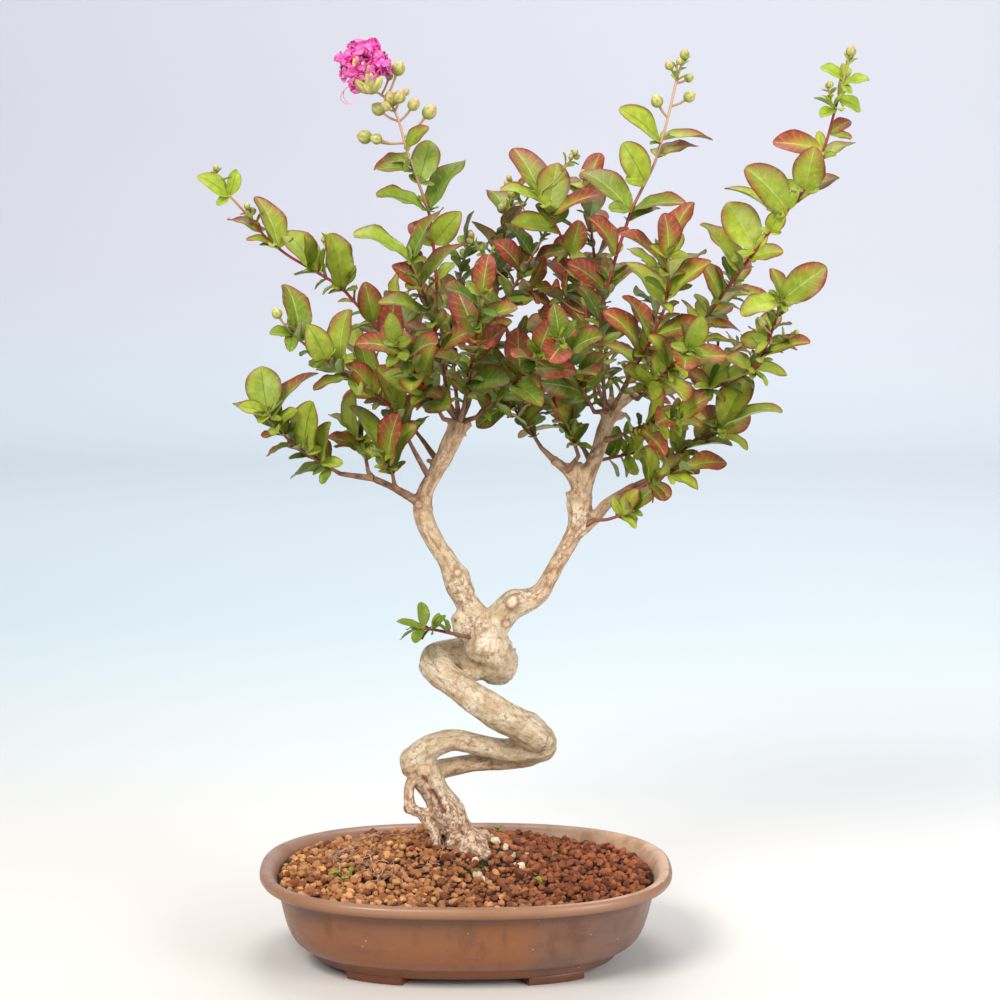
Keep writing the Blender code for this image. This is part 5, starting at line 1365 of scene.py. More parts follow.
# Where the tips of the stamens lie in a ring, and the half-sizes of their anthers
STAMEN_TIPS = (-68, -25, 602)
STAMEN_RING = 3
ANTHER_SIZE = (0.75, 0.6, 1.1)


def ball_direction(number, count, shift=0.0):
    """One of this many directions spread evenly around a ball."""
    height = 1 - 2 * (number + 0.5) / count
    turn = number * GOLDEN_ANGLE + shift
    level = math.sqrt(1 - height * height)
    return Vector((level * math.cos(turn), level * math.sin(turn), height))


def petal_poses(number, draw):
    """The source's ways to hold a petal."""
    axis = ball_direction(number, PETALS)
    length = draw.uniform(*PETAL_REACH)
    normal = Matrix.Rotation(draw.uniform(-1, 1), 3, axis) @ facing(axis, Vector((0.3, 0.2, 1)))
    for shrink in SHRINKS:
        yield Pose(Vector(BLOOM_CENTRE), axis, normal, length * shrink, PETAL_WIDTH, PETAL_BLADE)


def add_petal(patch, pose, draw):
    """A crumpled petal on a thin claw, with a frilled rim."""
    v = PETAL_ALONG[:, None]
    u = PETAL_ACROSS[None]
    limb = np.clip((v - 0.3) / 0.7, 0, 1)
    profile = np.where(v < 0.3, 0.09, 0.09 + 0.91 * np.sin(np.pi * np.minimum(limb, 0.97) ** 0.62) ** 0.6)
    phases = [draw.uniform(0, FULL_TURN) for _ in range(5)]
    frill = 1 + 0.2 * limb * np.sin(24 * v + phases[0] + 2.0 * np.sign(u))
    x = u * profile * pose.width / 2 * frill
    crumple = 2.2 * np.sin(5.5 * u + phases[1] + 4.0 * v) + 1.9 * np.sin(12 * u + phases[2] - 6 * v)
    crumple = crumple + 1.7 * np.sin(19 * v + phases[3] + 4 * u)
    z = crumple * limb**0.8 * (0.55 + 0.45 * np.abs(u))
    z = z - 2.5 * limb**2 * draw.uniform(-1, 1)
    x = x + 1.2 * limb * np.sin(14 * v + phases[4] + 3 * u)
    points = sheet_points(pose, PETAL_ALONG, x, z, PETAL_THICKNESS)
    creases = np.broadcast_to(np.abs(crumple) / 4, x.shape)
    fold = np.concatenate([creases.ravel(), creases[:, 1:-1].ravel(), [0.5]])
    tone = np.full(len(points), draw.uniform(0, 1))
    tint = np.stack([PETAL_PLACES[:, 1], tone, fold], axis=1)
    patch.add(points, PETAL_TOPS + PETAL_BOTTOMS, PETAL_SKIN, tint)


def add_thread(patch, points, radius, slot):
    skin, faces, grain, along = tube(smooth_line(points, THREAD_STEP), radius, THREAD_SIDES)
    tint = np.stack([along, along, along], axis=1)
    patch.add(skin, faces, slot, tint, grain)


def make_bloom(materials):
    patch = Patch()
    tree = corner_tree("flower")
    source_draw = random.Random(SEED)
    poses = [pose_in_node(petal_poses(number, source_draw), tree, PETAL_WAVE) for number in range(PETALS)]
    for number, pose in enumerate(pose for pose in poses if pose):
        add_petal(patch, pose, random.Random(f"petal {number}"))
    inner = random.Random("inner petals")
    for number in range(INNER_PETALS):
        axis = ball_direction(number, INNER_PETALS, 0.7)
        normal = facing(axis, Vector([inner.uniform(-1, 1) for _ in range(3)]))
        length = inner.uniform(*INNER_LENGTHS)
        pose = Pose(Vector(BLOOM_CENTRE), axis, normal, length, inner.uniform(*INNER_WIDTHS), None)
        add_petal(patch, pose, inner)
    core_points = np.array(BLOOM_CENTRE) + BALL_POINTS * BLOOM_CORE_RADIUS
    patch.add(core_points, BALL_FACES, PETAL_SKIN, (0.35, 0.2, 0.0))
    add_thread(patch, (CALYX_FOOT, (-62, -10, 592), BLOOM_CENTRE), 1.6, PETAL_SKIN)
    for number in range(STAMENS):
        turn = inner.uniform(0, FULL_TURN)
        ring = (STAMEN_RING * math.cos(turn), -inner.uniform(0, 2), STAMEN_RING * math.sin(turn))
        tip = Vector([middle + shift for middle, shift in zip(STAMEN_TIPS, ring)])
        middle = Vector(BLOOM_CENTRE).lerp(tip, 0.6) + Vector((0, 0, 1.5))
        add_thread(patch, (BLOOM_CENTRE, middle, tip), 0.22, STAMEN_THREAD)
        patch.add(np.array(tip) + BALL_POINTS * ANTHER_SIZE, BALL_FACES, ANTHER, (0.5, 0, 0))
    for shift in (0, 2.2):
        curl = ((-68, -14, 590), (-77, -15, 585), (-80 + shift, -13, 579), (-76 + shift, -12, 575.5),
                (-71.5, -12, 578), (-71, -12, 583))
        add_thread(patch, curl, 0.28, STAMEN_THREAD)
    piece = patch.build("bloom", materials, BLOOM_SHARP)
    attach(piece, "root")
    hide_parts("flower")


# Wood


WOOD_VOXEL = 1.0
WOOD_SIDES = 20
FUSE_ROUNDS = 3
SKIN_ROUNDS = 14
# Old twigs' ends: (the place that they leave, how many there are, how far they reach)
SPURS = (
    (LEFT_HEAD, 9, 7), (RIGHT_HEAD, 8, 7), ((-19, 0, 336), 5, 5), ((75, 0, 318), 5, 6), ((-7, 0, 262), 3, 5),
)
SPUR_RADII = (1.6, 2.8)
SPUR_SIDES = 10
TWIG_RADIUS = 1.5
TWIG_SIDES = 9
FIT_GAP = 0.3


def mesh_of(patch, name):
    """A bare mesh object of a patch, for work that comes before its materials."""
    mesh = bpy.data.meshes.new(name)
    mesh.from_pydata(to_frame(np.vstack(patch.points)).tolist(), [], patch.faces)
    return add_object(name, mesh)


def modified_mesh(obj):
    """The mesh that an object's modifiers make."""
    bpy.context.view_layer.update()
    graph = bpy.context.evaluated_depsgraph_get()
    return bpy.data.meshes.new_from_object(obj.evaluated_get(graph))


def fused(patch, voxel, rounds):
    """Points, normals and faces of one skin around all of a patch's solids, in millimetres."""
    obj = mesh_of(patch, "to_fuse")
    remesh = obj.modifiers.new("Fuse", "REMESH")
    remesh.mode = "VOXEL"
    remesh.voxel_size = voxel * MM
    smooth = obj.modifiers.new("Soften", "SMOOTH")
    smooth.factor = 0.5
    smooth.iterations = rounds
    mesh = modified_mesh(obj)
    points = np.empty(len(mesh.vertices) * 3)
    mesh.vertices.foreach_get("co", points)
    normals = np.array([normal.vector[:] for normal in mesh.vertex_normals])
    faces = [list(polygon.vertices) for polygon in mesh.polygons]
    bpy.data.objects.remove(obj)
    return points.reshape(-1, 3) / MM + (*PLANT_MIDDLE, 0.0), normals, faces


def step_up(value, low, high):
    """0 below low, 1 above high and smooth between."""
    t = np.clip((value - low) / (high - low), 0, 1)
    return t * t * (3 - 2 * t)


def bark_marks(points, push):
    """Adds the scars, knots and pits to push, which says how far each point moves out.

    Returns how far each point is a healed cut, and how dark it is.
    """
    healed = np.zeros(len(points))
    dark = np.zeros(len(points))
    wander = noise_at(points / 5.0) + 0.6 * noise_at(points / 1.8)
    for x, y, z, radius, kind in BARK_MARKS:
        distance = np.linalg.norm(points - (x, y, z), axis=1) / radius * (1 + 0.35 * wander)
        ring = np.exp(-(((distance - 0.95) / 0.28) ** 2))
        heart = np.exp(-((distance / 0.6) ** 2))
        if kind == "callus":
            push += 0.9 * ring - 0.9 * heart
            healed = np.maximum(healed, 0.8 * step_up(-distance, -1.0, -0.5))
            dark = np.maximum(dark, 0.35 * ring * (wander > 0))
        elif kind == "eye":
            push += 0.7 * ring - 0.5 * heart
            healed = np.maximum(healed, 0.5 * step_up(-distance, -0.9, -0.5))
            dark = np.maximum(dark, 0.6 * ring)
        else:
            push += 0.4 * ring - 0.9 * radius * 0.5 * heart
            dark = np.maximum(dark, step_up(-distance, -0.8, -0.4))
    for start, end, half in FLAKES:
        start, end = np.array(start, float), np.array(end, float)
        run = end - start
        share = np.clip((points - start) @ run / (run @ run), 0, 1)
        distance = np.linalg.norm(points - (start + share[:, None] * run), axis=1) * (1 + 0.7 * wander)
        dark = np.maximum(dark, step_up(-distance, -half * 1.4, -half * 0.6))
        push -= 0.4 * step_up(-distance, -half * 1.2, -half * 0.8)
    return healed, dark


def grain_of(points, routes):
    """Each point's place along and around the nearest route, and that route's radius there."""
    centres, tangents, sides, ups, starts, radii = [], [], [], [], [], []
    for number, route in enumerate(routes):
        ahead, side, up = frames_along(route[:, :3])
        lengths = lengths_along(route[:, :3])
        centres.append(route[:, :3])
        tangents.append(ahead)
        sides.append(side)
        ups.append(up)
        starts.append(lengths + 100.0 * number)
        radii.append(route[:, 3])
    centres, tangents, sides, ups = (np.vstack(part) for part in (centres, tangents, sides, ups))
    starts, radii = np.concatenate(starts), np.concatenate(radii)
    tree = tree_of(centres)
    nearest = np.array([tree.find(point)[1] for point in points])
    away = points - centres[nearest]
    along = starts[nearest] + np.sum(away * tangents[nearest], axis=1)
    around = [np.sum(away * square[nearest], axis=1) for square in (sides, ups)]
    grain = np.stack([along, *around], axis=1)
    return grain, radii[nearest]


def noise_at(points):
    return np.array([noise.noise(Vector(point)) for point in points])


# Rough places off the leg, where the bark is cracked too: (x, y, z, radius)
CRACKED_PLACES = (
    (-2, -4, 254, 17), (-6, -14, 193, 15), (6, -12, 230, 12), (46, -4, 252, 9), (75, -4, 300, 16),
)
CRACKED_SHARE = 0.8


def crack_depth(points):
    """1 in the cracks between plates and 0 on them."""
    gaps = np.array([np.diff(noise.voronoi(Vector(point))[0][:2])[0] for point in points])
    return 1 - step_up(gaps, 0.03, 0.12)


def softened(points, faces, weights, rounds):
    """Points moved towards the middle of their neighbours, by their weights, so that joints run smoothly."""
    corners = np.array(faces)
    edges = np.vstack([corners[:, [start, (start + 1) % 4]] for start in range(4)])
    neighbours = np.bincount(edges[:, 0], minlength=len(points))
    for _ in range(rounds):
        sums = [np.bincount(edges[:, 0], points[edges[:, 1], axis], len(points)) for axis in range(3)]
        middles = np.stack(sums, 1) / neighbours[:, None]
        points = points + weights[:, None] * 0.6 * (middles - points)
    return points


def add_spurs(patch):
    """Short broken ends of old twigs, which roughen the places where shoots leave the wood."""
    draw = random.Random("spurs")
    for (x, y, z), count, reach in SPURS:
        for _ in range(count):
            turn = draw.uniform(0, FULL_TURN)
            toward = Vector((math.cos(turn), 0.8 * math.sin(turn), draw.uniform(-0.4, 0.7))).normalized()
            start = Vector((x, y, z + draw.uniform(-7, 3)))
            end = start + toward * (reach + draw.uniform(0.5, 4.0))
            radius = draw.uniform(*SPUR_RADII)
            radii = (radius * 1.3, radius, radius * 0.7)
            skin, faces, _, _ = tube((start, (start + end) / 2, end), radii, SPUR_SIDES)
            patch.add(skin, faces)


def twig_points(shoot):
    """The brown twig below a shoot, as in the source."""
    start, after = vectors(shoot.route[:2])
    heading = (after - start).normalized()
    lead = start - heading * TWIG_LEAD
    end = start - heading * FIT_GAP
    return smooth_route(
        [(*shoot.fork, TWIG_RADIUS + 0.8), (*lead, TWIG_RADIUS), (*end, TWIG_RADIUS - 0.1)], 2.5
    )


def make_wood(material):
    routes = [smooth_route(route, 2.5) for route in
              (STUB, TRUNK_LEG, UPPER_STRAND, LOWER_STRAND, TRUNK_LOOP, LEFT_BRANCH, RIGHT_BRANCH)]
    routes += [smooth_route(route, 2.0) for route in LIMBS + SURFACE_ROOTS]
    solids = Patch()
    for route in routes:
        skin, faces, _, _ = tube(route[:, :3], route[:, 3] + 0.15, WOOD_SIDES)
        solids.add(skin, faces)
    for x, y, z, radius in BURLS:
        solids.add(np.array((x, y, z)) + BALL_POINTS * radius, BALL_FACES)
    add_spurs(solids)
    points, normals, faces = fused(solids, WOOD_VOXEL, FUSE_ROUNDS)
    grain, radii = grain_of(points, routes)
    points = softened(points, faces, step_up(radii, 4.0, 8.0), SKIN_ROUNDS)
    bulk = np.clip(radii / 12, 0.2, 1.0)
    cracked = step_up(-points[:, 2], -128, -108)
    for x, y, z, radius in CRACKED_PLACES:
        distance = np.linalg.norm(points - (x, y, z), axis=1) / radius
        cracked = np.maximum(cracked, CRACKED_SHARE * step_up(-distance, -1.0, -0.5))
    old = np.maximum(cracked, 0.6 * step_up(noise_at(points / 22.0 + 3.0), 0.0, 0.3))
    lumps = noise_at(grain / (20, 8, 8))
    knuckles = noise_at(points / 9.0 + 5.0)
    ridges = noise_at(grain / (22, 2.4, 2.4) + 7.0)
    rough = noise_at(points / 2.2)
    cracks = crack_depth(grain / (9.0, 3.2, 3.2))
    push = bulk * (1.3 * lumps + 1.0 * knuckles + (0.4 + 0.7 * old) * ridges) + (0.12 + 0.12 * old) * rough
    push = push - (0.15 + 0.55 * cracked) * bulk * old * cracks
    healed, dark = bark_marks(points, push)
    dark = np.maximum(dark, 0.75 * cracked * cracks)
    points = points + normals * push[:, None]
    healed = np.maximum(healed, 0.75 * cracked * (1 - cracks) * step_up(rough + ridges, -0.4, 0.3))
    age = 0.5 * step_up(radii, 2.0, 4.0) + 0.5 * step_up(radii, 4.5, 8.5)
    patch = Patch()
    patch.add(points, faces, 0, np.stack([age, healed, dark], axis=1), grain)
    for number, shoot in enumerate(SHOOTS):
        route = twig_points(shoot)
        knots = 1 + 0.1 * noise_at(route[:, :3] / 3.0 + number)
        skin, faces, grain, _ = tube(route[:, :3], route[:, 3] * knots, TWIG_SIDES)
        patch.add(skin, faces, 0, (0.1, 0.0, 0.0), grain + (50.0 * number, 0, 0))
    piece = patch.build("bark", [material], BARK_SHARP)
    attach(piece, "root")
    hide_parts("wood")


# Pot


def oval_point(turn, inset):
    """A point of the pot's plan, this far in from the rim: a squared-off ellipse."""
    x = math.copysign(abs(math.cos(turn)) ** (2 / OVAL_POWER), math.cos(turn))
    y = math.copysign(abs(math.sin(turn)) ** (2 / OVAL_POWER), math.sin(turn))
    return (POT_LENGTH / 2 - inset) * x, (POT_WIDTH / 2 - inset) * y


def rounded_section(section, rounds):
    """A section with its corners cut off again and again, which leaves it smooth."""
    points = np.array(section, float)
    for _ in range(rounds):
        quarter = points[:-1] * 0.75 + points[1:] * 0.25
        three = points[:-1] * 0.25 + points[1:] * 0.75
        inner = np.stack([quarter, three], axis=1).reshape(-1, 2)
        points = np.vstack([points[:1], inner[1:-1], points[-1:]])
    return points


def loft_rings(section, turns, closed_round):
    """Points and faces of a skin over oval rings, each an (inset, height)."""
    points = [(*oval_point(turn, inset), z) for inset, z in section for turn in turns]
    count = len(turns)
    spans = count if closed_round else count - 1
    faces = []
    for row in range(len(section) - 1):
        for place in range(spans):
            after = (place + 1) % count
            faces.append((row * count + place, row * count + after, (row + 1) * count + after,
                          (row + 1) * count + place))
    return np.array(points), faces


def drilled(obj, centres, radius, bottom, top):
    """Cuts round holes down through an object."""
    cutters = Patch()
    for x, y in centres:
        axis = ((x, y, bottom), (x, y, (bottom + top) / 2), (x, y, top))
        skin, faces, _, _ = tube(axis, radius, DRILL_SIDES)
        cutters.add(skin, faces)
    cutter = mesh_of(cutters, "cutter")
    boolean = obj.modifiers.new("Drain", "BOOLEAN")
    boolean.operation = "DIFFERENCE"
    boolean.object = cutter
    boolean.solver = "EXACT"
    mesh = modified_mesh(obj)
    obj.modifiers.clear()
    obj.data = mesh
    bpy.data.objects.remove(cutter)


def foot_turns(quarter):
    """The turns round the oval that one foot covers."""
    middle = (FOOT_SECTION[0][0] + FOOT_SECTION[-1][0]) / 2
    turns = np.linspace(quarter * math.pi / 2, (quarter + 1) * math.pi / 2, FOOT_SEARCH_POINTS)
    inside = []
    for turn in turns:
        x, y = oval_point(turn, middle)
        if abs(x) >= FRONT_FOOT_SPACE / 2 and abs(y) >= END_FOOT_SPACE / 2:
            inside.append(turn)
    return np.linspace(inside[0], inside[-1], FOOT_POINTS)


def make_pot(material):
    patch = Patch()
    turns = 2 * np.pi * np.arange(POT_POINTS) / POT_POINTS
    section = rounded_section(POT_SECTION, SECTION_ROUNDS)
    points, faces = loft_rings(section, turns, True)
    outer = len(section) * POT_POINTS
    faces.append(list(range(POT_POINTS))[::-1])
    faces.append([outer - POT_POINTS + place for place in range(POT_POINTS)])
    middle = points * (1, 1, 0)
    outward = middle / np.linalg.norm(middle, axis=1)[:, None]
    hand = noise_at(points / 60)
    throwing = noise_at(points / (90, 90, 5))
    bump = np.exp(-(np.linalg.norm(points - RIM_LUMP, axis=1) / RIM_LUMP_RADIUS) ** 2)
    points = points + outward * (0.5 * hand + 0.18 * throwing)[:, None] + (0, 0, 1) * bump[:, None]
    inside = np.repeat(np.arange(len(section)) > len(section) * INNER_SHARE, POT_POINTS)
    patch.add(points, faces, 0, inside[:, None] * (1.0, 0.0, 0.0))
    pot = patch.build("pot_body", [material], POT_SHARP)
    drilled(pot, ((-DRAIN_HOLE_X, 0), (DRAIN_HOLE_X, 0)), DRAIN_HOLE_RADIUS, *DRILL_SPAN)
    feet = Patch()
    for quarter in range(4):
        foot_points, foot_faces = loft_rings(FOOT_SECTION + FOOT_SECTION[:1], foot_turns(quarter), False)
        corners = range(len(FOOT_SECTION))
        foot_faces.append([row * FOOT_POINTS for row in corners])
        foot_faces.append([row * FOOT_POINTS + FOOT_POINTS - 1 for row in reversed(corners)])
        feet.add(foot_points, foot_faces)
    base = feet.build("pot_feet", [material], POT_SHARP)
    for piece in (pot, base):
        bm = bmesh.new()
        bm.from_mesh(piece.data)
        bmesh.ops.remove_doubles(bm, verts=bm.verts, dist=WELD)
        bmesh.ops.recalc_face_normals(bm, faces=bm.faces)
        bm.to_mesh(piece.data)
        bm.free()
        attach(piece, "root")
    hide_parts("pot")


# Soil


def soil_height(x, y):
    """The mound of the source's soil."""
    across = (x - MOUND_CENTRE[0]) / MOUND_REACH[0]
    deep = (y - MOUND_CENTRE[1]) / MOUND_REACH[1]
    mound = MOUND_HEIGHT * np.exp(-across * across - deep * deep)
    bumps = np.sin(0.19 * x + 1.3) * np.cos(0.23 * y) + 0.6 * np.sin(0.41 * x - 0.33 * y)
    return SOIL_EDGE_HEIGHT + mound + SOIL_BUMP * bumps


WALL_INSET = 14.0
GRAIN_SPACING = 4.4
ROW_SHARE = 0.92
GRAIN_SHIFT = 1.6
WALL_MARGIN = 1.4
TRUNK_CLEARANCE = 10.5
GRAIN_PIECES = 3
LUMP_SHAPES = 48
LUMP_CORNERS = 30


def inside_pot(x, y, margin):
    """Whether a place is on the soil, this far from the pot's wall."""
    inset = WALL_INSET + margin
    across = abs(x) / (POT_LENGTH / 2 - inset)
    deep = abs(y) / (POT_WIDTH / 2 - inset)
    return across**OVAL_POWER + deep**OVAL_POWER <= 1


def any_direction(draw):
    return Vector([draw.gauss(0, 1) for _ in range(3)]).normalized()


def lump_shape(draw):
    """Points and faces of an angular stone: the hull of a few points around a ball."""
    bm = bmesh.new()
    for _ in range(LUMP_CORNERS):
        bm.verts.new(any_direction(draw) * draw.uniform(0.86, 1.1))
    bmesh.ops.convex_hull(bm, input=bm.verts)
    loose = [vertex for vertex in bm.verts if not vertex.link_faces]
    bmesh.ops.delete(bm, geom=loose, context="VERTS")
    bm.verts.index_update()
    points = np.array([vertex.co[:] for vertex in bm.verts])
    faces = [[vertex.index for vertex in face.verts] for face in bm.faces]
    bm.free()
    return points, faces


def lump(centre, size, draw, squash=0.75):
    """Points and faces of an angular stone at a place, stretched and turned at random."""
    points, faces = draw.choice(STONE_SHAPES)
    scale = np.array([draw.uniform(0.8, 1.3), draw.uniform(0.75, 1.15), draw.uniform(squash, 1.0)]) * size
    turn = Matrix.Rotation(draw.uniform(0, FULL_TURN), 3, any_direction(draw))
    return np.array(centre) + (points * scale) @ np.array(turn), faces


SHAPE_DRAW = random.Random("stone shapes")
STONE_SHAPES = [lump_shape(SHAPE_DRAW) for _ in range(LUMP_SHAPES)]
# Layers of grains: (least and greatest size, lowest and highest place above the soil, share that is there)
GRAIN_LAYERS = (
    ((1.9, 3.1), (-1.1, 2.1), 0.95),
    ((1.2, 1.9), (-0.6, 0.7), 0.5),
    ((2.3, 3.4), (1.8, 3.4), 0.2),
)


def add_grain(patches, x, y, sizes, lifts, draw):
    """One loose grain, drier and larger towards the left and the front, with painted shade on its lower part.
    """
    dry = 1 / (1 + math.exp((x - 4 + 0.35 * (y + 30) + draw.gauss(0, 16)) / 18))
    size = draw.uniform(*sizes) * (1 + 0.25 * dry * draw.random())
    z = float(soil_height(x, y)) + draw.uniform(*lifts)
    points, faces = lump((x, y, z), size, draw)
    number = int((x + POT_LENGTH / 2) / (POT_LENGTH / GRAIN_PIECES))
    red, light = draw.random(), draw.random()
    # Painted shade on the lower part of the grain, kept as light below 0
    shaded = step_up(-(points[:, 2] - z) / size, -0.1, 0.75)
    tint = [(1 - dry, red, light * (1 - share) - share) for share in shaded]
    patches[number].add(points, faces, 0, tint)


def make_grains(material):
    """Loose clay grains in three pieces, damp and dark at the right, dry and light at the left and front."""
    draw = random.Random(SEED)
    patches = [Patch() for _ in range(GRAIN_PIECES)]
    rows = int(POT_WIDTH / GRAIN_SPACING / ROW_SHARE)
    columns = int(POT_LENGTH / GRAIN_SPACING)
    for sizes, lifts, share in GRAIN_LAYERS:
        for row in range(rows):
            for column in range(columns):
                x = (column + 0.5 * (row % 2)) * GRAIN_SPACING - POT_LENGTH / 2
                x += draw.uniform(-GRAIN_SHIFT, GRAIN_SHIFT)
                y = row * GRAIN_SPACING * ROW_SHARE - POT_WIDTH / 2
                y += draw.uniform(-GRAIN_SHIFT, GRAIN_SHIFT)
                on_soil = inside_pot(x, y, WALL_MARGIN) and math.hypot(x - STUB[0][0], y) > TRUNK_CLEARANCE
                if on_soil and draw.random() < share:
                    add_grain(patches, x, y, sizes, lifts, draw)
    for number, patch in enumerate(patches):
        piece = patch.build(f"clay_grains_{number + 1}", [material], STONE_SHARP)
        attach(piece, "root")


# Stones and tufts of moss: (x, y, size). Seedlings: (x, y, height). Areas of dead roots: (x, y).
STONES = (
    (13, 14, 4.4), (20, 10, 3.8), (17, 22, 2.8), (27, 2, 3.6), (31, -8, 3.4), (37, -21, 3.4), (8, -39, 3.8),
    (26, 18, 2.4), (41, 2, 2.2), (6, -22, 2.6), (34, -16, 2.0), (12, -44, 2.2),
)
SEEDLINGS = ((-88, -27, 5.0), (-76, -28, 5.0), (-81, -36, 3.5), (50, -45, 5.0), (22, 66, 5.0), (32, 64, 4.0))
MOSS = ((4, -36, 6), (13, -33, 6), (24, -3, 5), (30, -2, 4), (14, -20, 4), (10, -28, 5))
TUFT_BLADES = 170
BLADE_HEIGHTS = (1.4, 2.8)
BLADE_RADII = (0.32, 0.26, 0.06)
BLADE_SIDES = 4
ROOT_AREAS = ((-90, 12), (-64, -6), (-78, -22), (-18, -24), (-66, 40), (-30, 30), (-50, -40))
AREA_ROOTS = 8
ROOT_STEP = 3.4
ROOT_LIFT = 3.4
ROOT_RADII = (0.22, 0.5)


def make_stones(material):
    draw = random.Random("stones")
    patch = Patch()
    for x, y, size in STONES:
        z = float(soil_height(x, y)) + size * 0.75
        points, faces = lump((x, y, z), size, draw, 0.6)
        patch.add(points, faces, 0, (draw.random(), 0, 0))
    piece = patch.build("pale_stones", [material], STONE_SHARP)
    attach(piece, "root")


def make_moss(material):
    """Low dark tufts of short blades."""
    draw = random.Random("moss")
    patch = Patch()
    for x, y, reach in MOSS:
        for _ in range(TUFT_BLADES):
            turn = draw.uniform(0, FULL_TURN)
            away = reach * math.sqrt(draw.random())
            foot_x, foot_y = x + away * math.cos(turn), y + away * math.sin(turn)
            foot = np.array((foot_x, foot_y, float(soil_height(foot_x, foot_y)) + 1.4))
            tall = 1.1 - away / reach / 2
            tip = foot + (draw.gauss(0, 0.5), draw.gauss(0, 0.5), draw.uniform(*BLADE_HEIGHTS) * tall)
            skin, faces, _, along = tube((foot, (foot + tip) / 2, tip), BLADE_RADII, BLADE_SIDES)
            patch.add(skin, faces, 0, np.stack([along * draw.random()] * 3, axis=1))
    piece = patch.build("moss", [material])
    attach(piece, "root")


def make_fibres(material):
    """Dead roots that lie on the grains."""
    draw = random.Random("fibres")
    patch = Patch()
    for x, y in ROOT_AREAS:
        for _ in range(AREA_ROOTS):
            place = np.array((x + draw.gauss(0, 8), y + draw.gauss(0, 7)))
            heading = draw.uniform(0, FULL_TURN)
            route = []
            for _ in range(draw.randint(5, 9)):
                if not inside_pot(*place, 4):
                    break
                lift = ROOT_LIFT + draw.uniform(0, 2.4)
                route.append((*place, float(soil_height(*place)) + lift))
                heading += draw.gauss(0, 0.35)
                place = place + ROOT_STEP * np.array((math.cos(heading), math.sin(heading)))
            if len(route) > 3:
                curve = smooth_line(route, THREAD_STEP)
                radii = draw.uniform(*ROOT_RADII) * np.linspace(1, 0.45, len(curve))
                skin, faces, grain, _ = tube(curve, radii, THREAD_SIDES)
                patch.add(skin, faces, 0, (draw.random(), 0, 0), grain)
    piece = patch.build("dead_roots", [material])
    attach(piece, "root")


def make_seedlings(materials):
    """Sprouts of two pairs of small bright leaves."""
    patch = Patch()
    for number, (x, y, height) in enumerate(SEEDLINGS):
        draw = random.Random(f"seedling {number}")
        foot = Vector((x, y, float(soil_height(x, y)) + 0.5))
        top = foot + Vector((draw.uniform(-1, 1), draw.uniform(-1, 1), height))
        add_stalk(patch, foot, top, 0.35, 0.95)
        turn = draw.uniform(0, 3.14)
        for pair in range(2):
            for side in range(2):
                angle = turn + math.pi * side + 1.4 * pair
                axis = Vector((math.cos(angle), math.sin(angle), 0.35 + 0.4 * pair)).normalized()
                normal = facing(axis, Vector((0, 0, 1)))
                length = draw.uniform(4.2, 6.5) * (1 - 0.25 * pair)
                pose = Pose(top, axis, normal, length, length * 0.5, None)
                add_leaf(patch, pose, Look(0.6, 0.0, 0.7), draw)
    piece = patch.build("seedlings", materials)
    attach(piece, "root")


# Stage, lights and camera


# In metres: half the floor's width, where it starts, where it starts to curve up, the curve's radius and
# the wall's height
STAGE_SIDE = 4.0
FLOOR_START = -4.0
COVE_START = 2.4
COVE = 0.5
WALL_TOP = 2.0


def make_stage():
    """A pale floor that curves up into a pale blue-grey wall far behind the pot, with painted light that
    makes it lighter towards the right.
    """
    shader = Shader("stage_paint")
    x, y, z = shader.parts(shader.place())
    floor = shader.mix(shader.ramp(y, 0.0, 1.2), srgb(210, 204, 197), srgb(206, 218, 222))
    far = shader.mix(shader.ramp(y, 1.0, 2.0), floor, srgb(222, 232, 237))
    wall = shader.mix(shader.ramp(z, 0.0, 0.3), far, srgb(223, 221, 229))
    # Painted light: the stage turns lighter towards the right
    colour = shader.mix(shader.ramp(x, -0.6, 1.0, 0.0, 0.4), wall, srgb(248, 248, 250))
    shader.finish(colour, 0.95, settings={"Specular IOR Level": 0.1})
    turns = np.linspace(0.1, math.pi / 2, 14)
    profile = [(FLOOR_START, 0.0), (COVE_START, 0.0)]
    profile += [(COVE_START + COVE * math.sin(turn), COVE - COVE * math.cos(turn)) for turn in turns]
    profile.append((COVE_START + COVE, WALL_TOP))
    points = [(side, y, z) for y, z in profile for side in (-STAGE_SIDE, STAGE_SIDE)]
    faces = [(2 * row, 2 * row + 1, 2 * row + 3, 2 * row + 2) for row in range(len(profile) - 1)]
    mesh = bpy.data.meshes.new("stage")
    mesh.from_pydata(points, [], faces)
    mesh.shade_smooth()
    mesh.materials.append(shader.material)
    stage = add_object("stage", mesh)


def make_light(name, place, aim, size, power, colour=(1, 1, 1)):
    light = bpy.data.lights.new(name, "AREA")
    light.shape = "DISK"
    light.size = size
    light.energy = power
    light.color = colour
    obj = add_object(name, light)
    obj.location = place
    obj.rotation_euler = (Vector(aim) - Vector(place)).to_track_quat("-Z", "Y").to_euler()


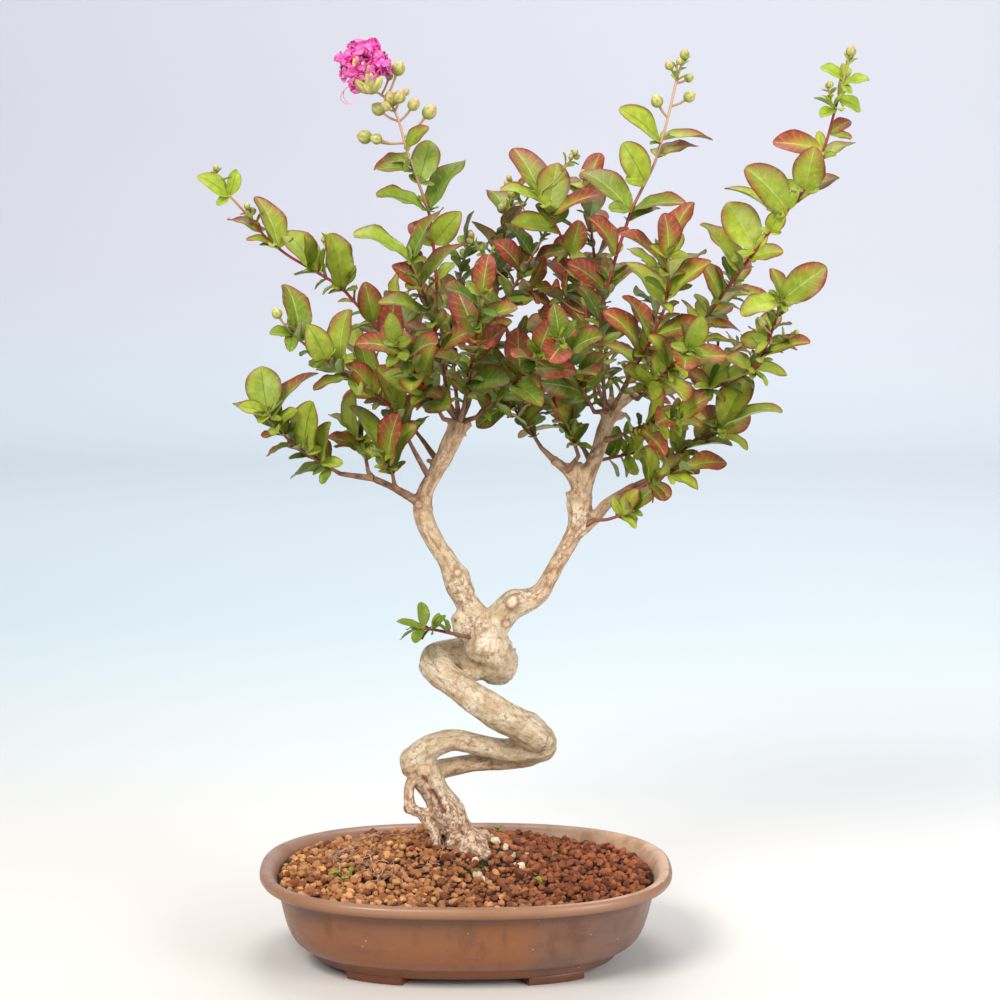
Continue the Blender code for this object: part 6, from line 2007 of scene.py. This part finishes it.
def make_lights():
    middle = (0, 0, 0.32)
    make_light("key", (-0.9, -1.5, 1.7), middle, 1.0, 48, (1.0, 0.98, 0.95))
    make_light("fill", (1.4, -1.3, 0.9), middle, 1.2, 28, (0.97, 0.98, 1.0))
    make_light("top", (0.1, 0.3, 2.0), middle, 1.0, 20)
    make_light("backdrop", (0, 1.8, 2.4), (0, 3.0, 0.3), 1.5, 11)
    world = bpy.data.worlds.new("sky")
    world.use_nodes = True
    background = world.node_tree.nodes["Background"]
    background.inputs[0].default_value = srgb(228, 236, 244)
    background.inputs[1].default_value = 0.52
    bpy.context.scene.world = world


def make_camera():
    camera = bpy.data.cameras.new("camera")
    camera.sensor_width = CAMERA_SENSOR
    camera.lens = CAMERA_LENS
    obj = add_object("camera", camera)
    obj.location = to_frame(CAMERA_PLACE)
    obj.rotation_euler = (math.radians(90 - CAMERA_DIP), 0, 0)
    bpy.context.scene.camera = obj


def paint_node(node, material):
    """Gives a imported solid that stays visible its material."""
    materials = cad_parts[node].data.materials
    materials.clear()
    materials.append(material)


def main():
    make_camera()
    make_stage()
    make_lights()
    leaf_top = leaf_material("leaf_top", False)
    leaf_under = leaf_material("leaf_under", True)
    foliage = [leaf_top, leaf_under, stem_material(), bud_material()]
    for shoot in SHOOTS:
        make_shoot(shoot, foliage)
    anther = plain_material("anther", srgb(214, 140, 40), srgb(250, 206, 90), 0.6, 0.6)
    thread = plain_material("stamen_thread", srgb(150, 70, 96), srgb(222, 170, 190), 0.8, 0.5)
    make_bloom([petal_material(), thread, anther])
    make_wood(bark_material())
    make_pot(glaze_material())
    make_grains(grain_material())
    make_stones(plain_material("pale_stone", srgb(158, 142, 110), srgb(220, 206, 174), 1.6, 0.85))
    make_moss(plain_material("moss_blade", srgb(22, 24, 14), srgb(66, 82, 38), 1.0, 0.9))
    make_fibres(plain_material("dead_root", srgb(112, 74, 60), srgb(200, 162, 142), 1.5, 0.9))
    make_seedlings(foliage)
    # The soil under the grains is near black: its own colour with painted shade for the gaps between the
    # grains
    paint_node("soil", plain_material("packed_clay", srgb(32, 15, 8), srgb(70, 36, 20), 2.0, 0.95, 0.6))
    mesh_plastic = plain_material("screen_plastic", srgb(20, 20, 20), srgb(40, 40, 40), 1.0, 0.6)
    for node in ("drain_screen_left", "drain_screen_right"):
        paint_node(node, mesh_plastic)
    bpy.context.scene.view_settings.view_transform = "Standard"


main()
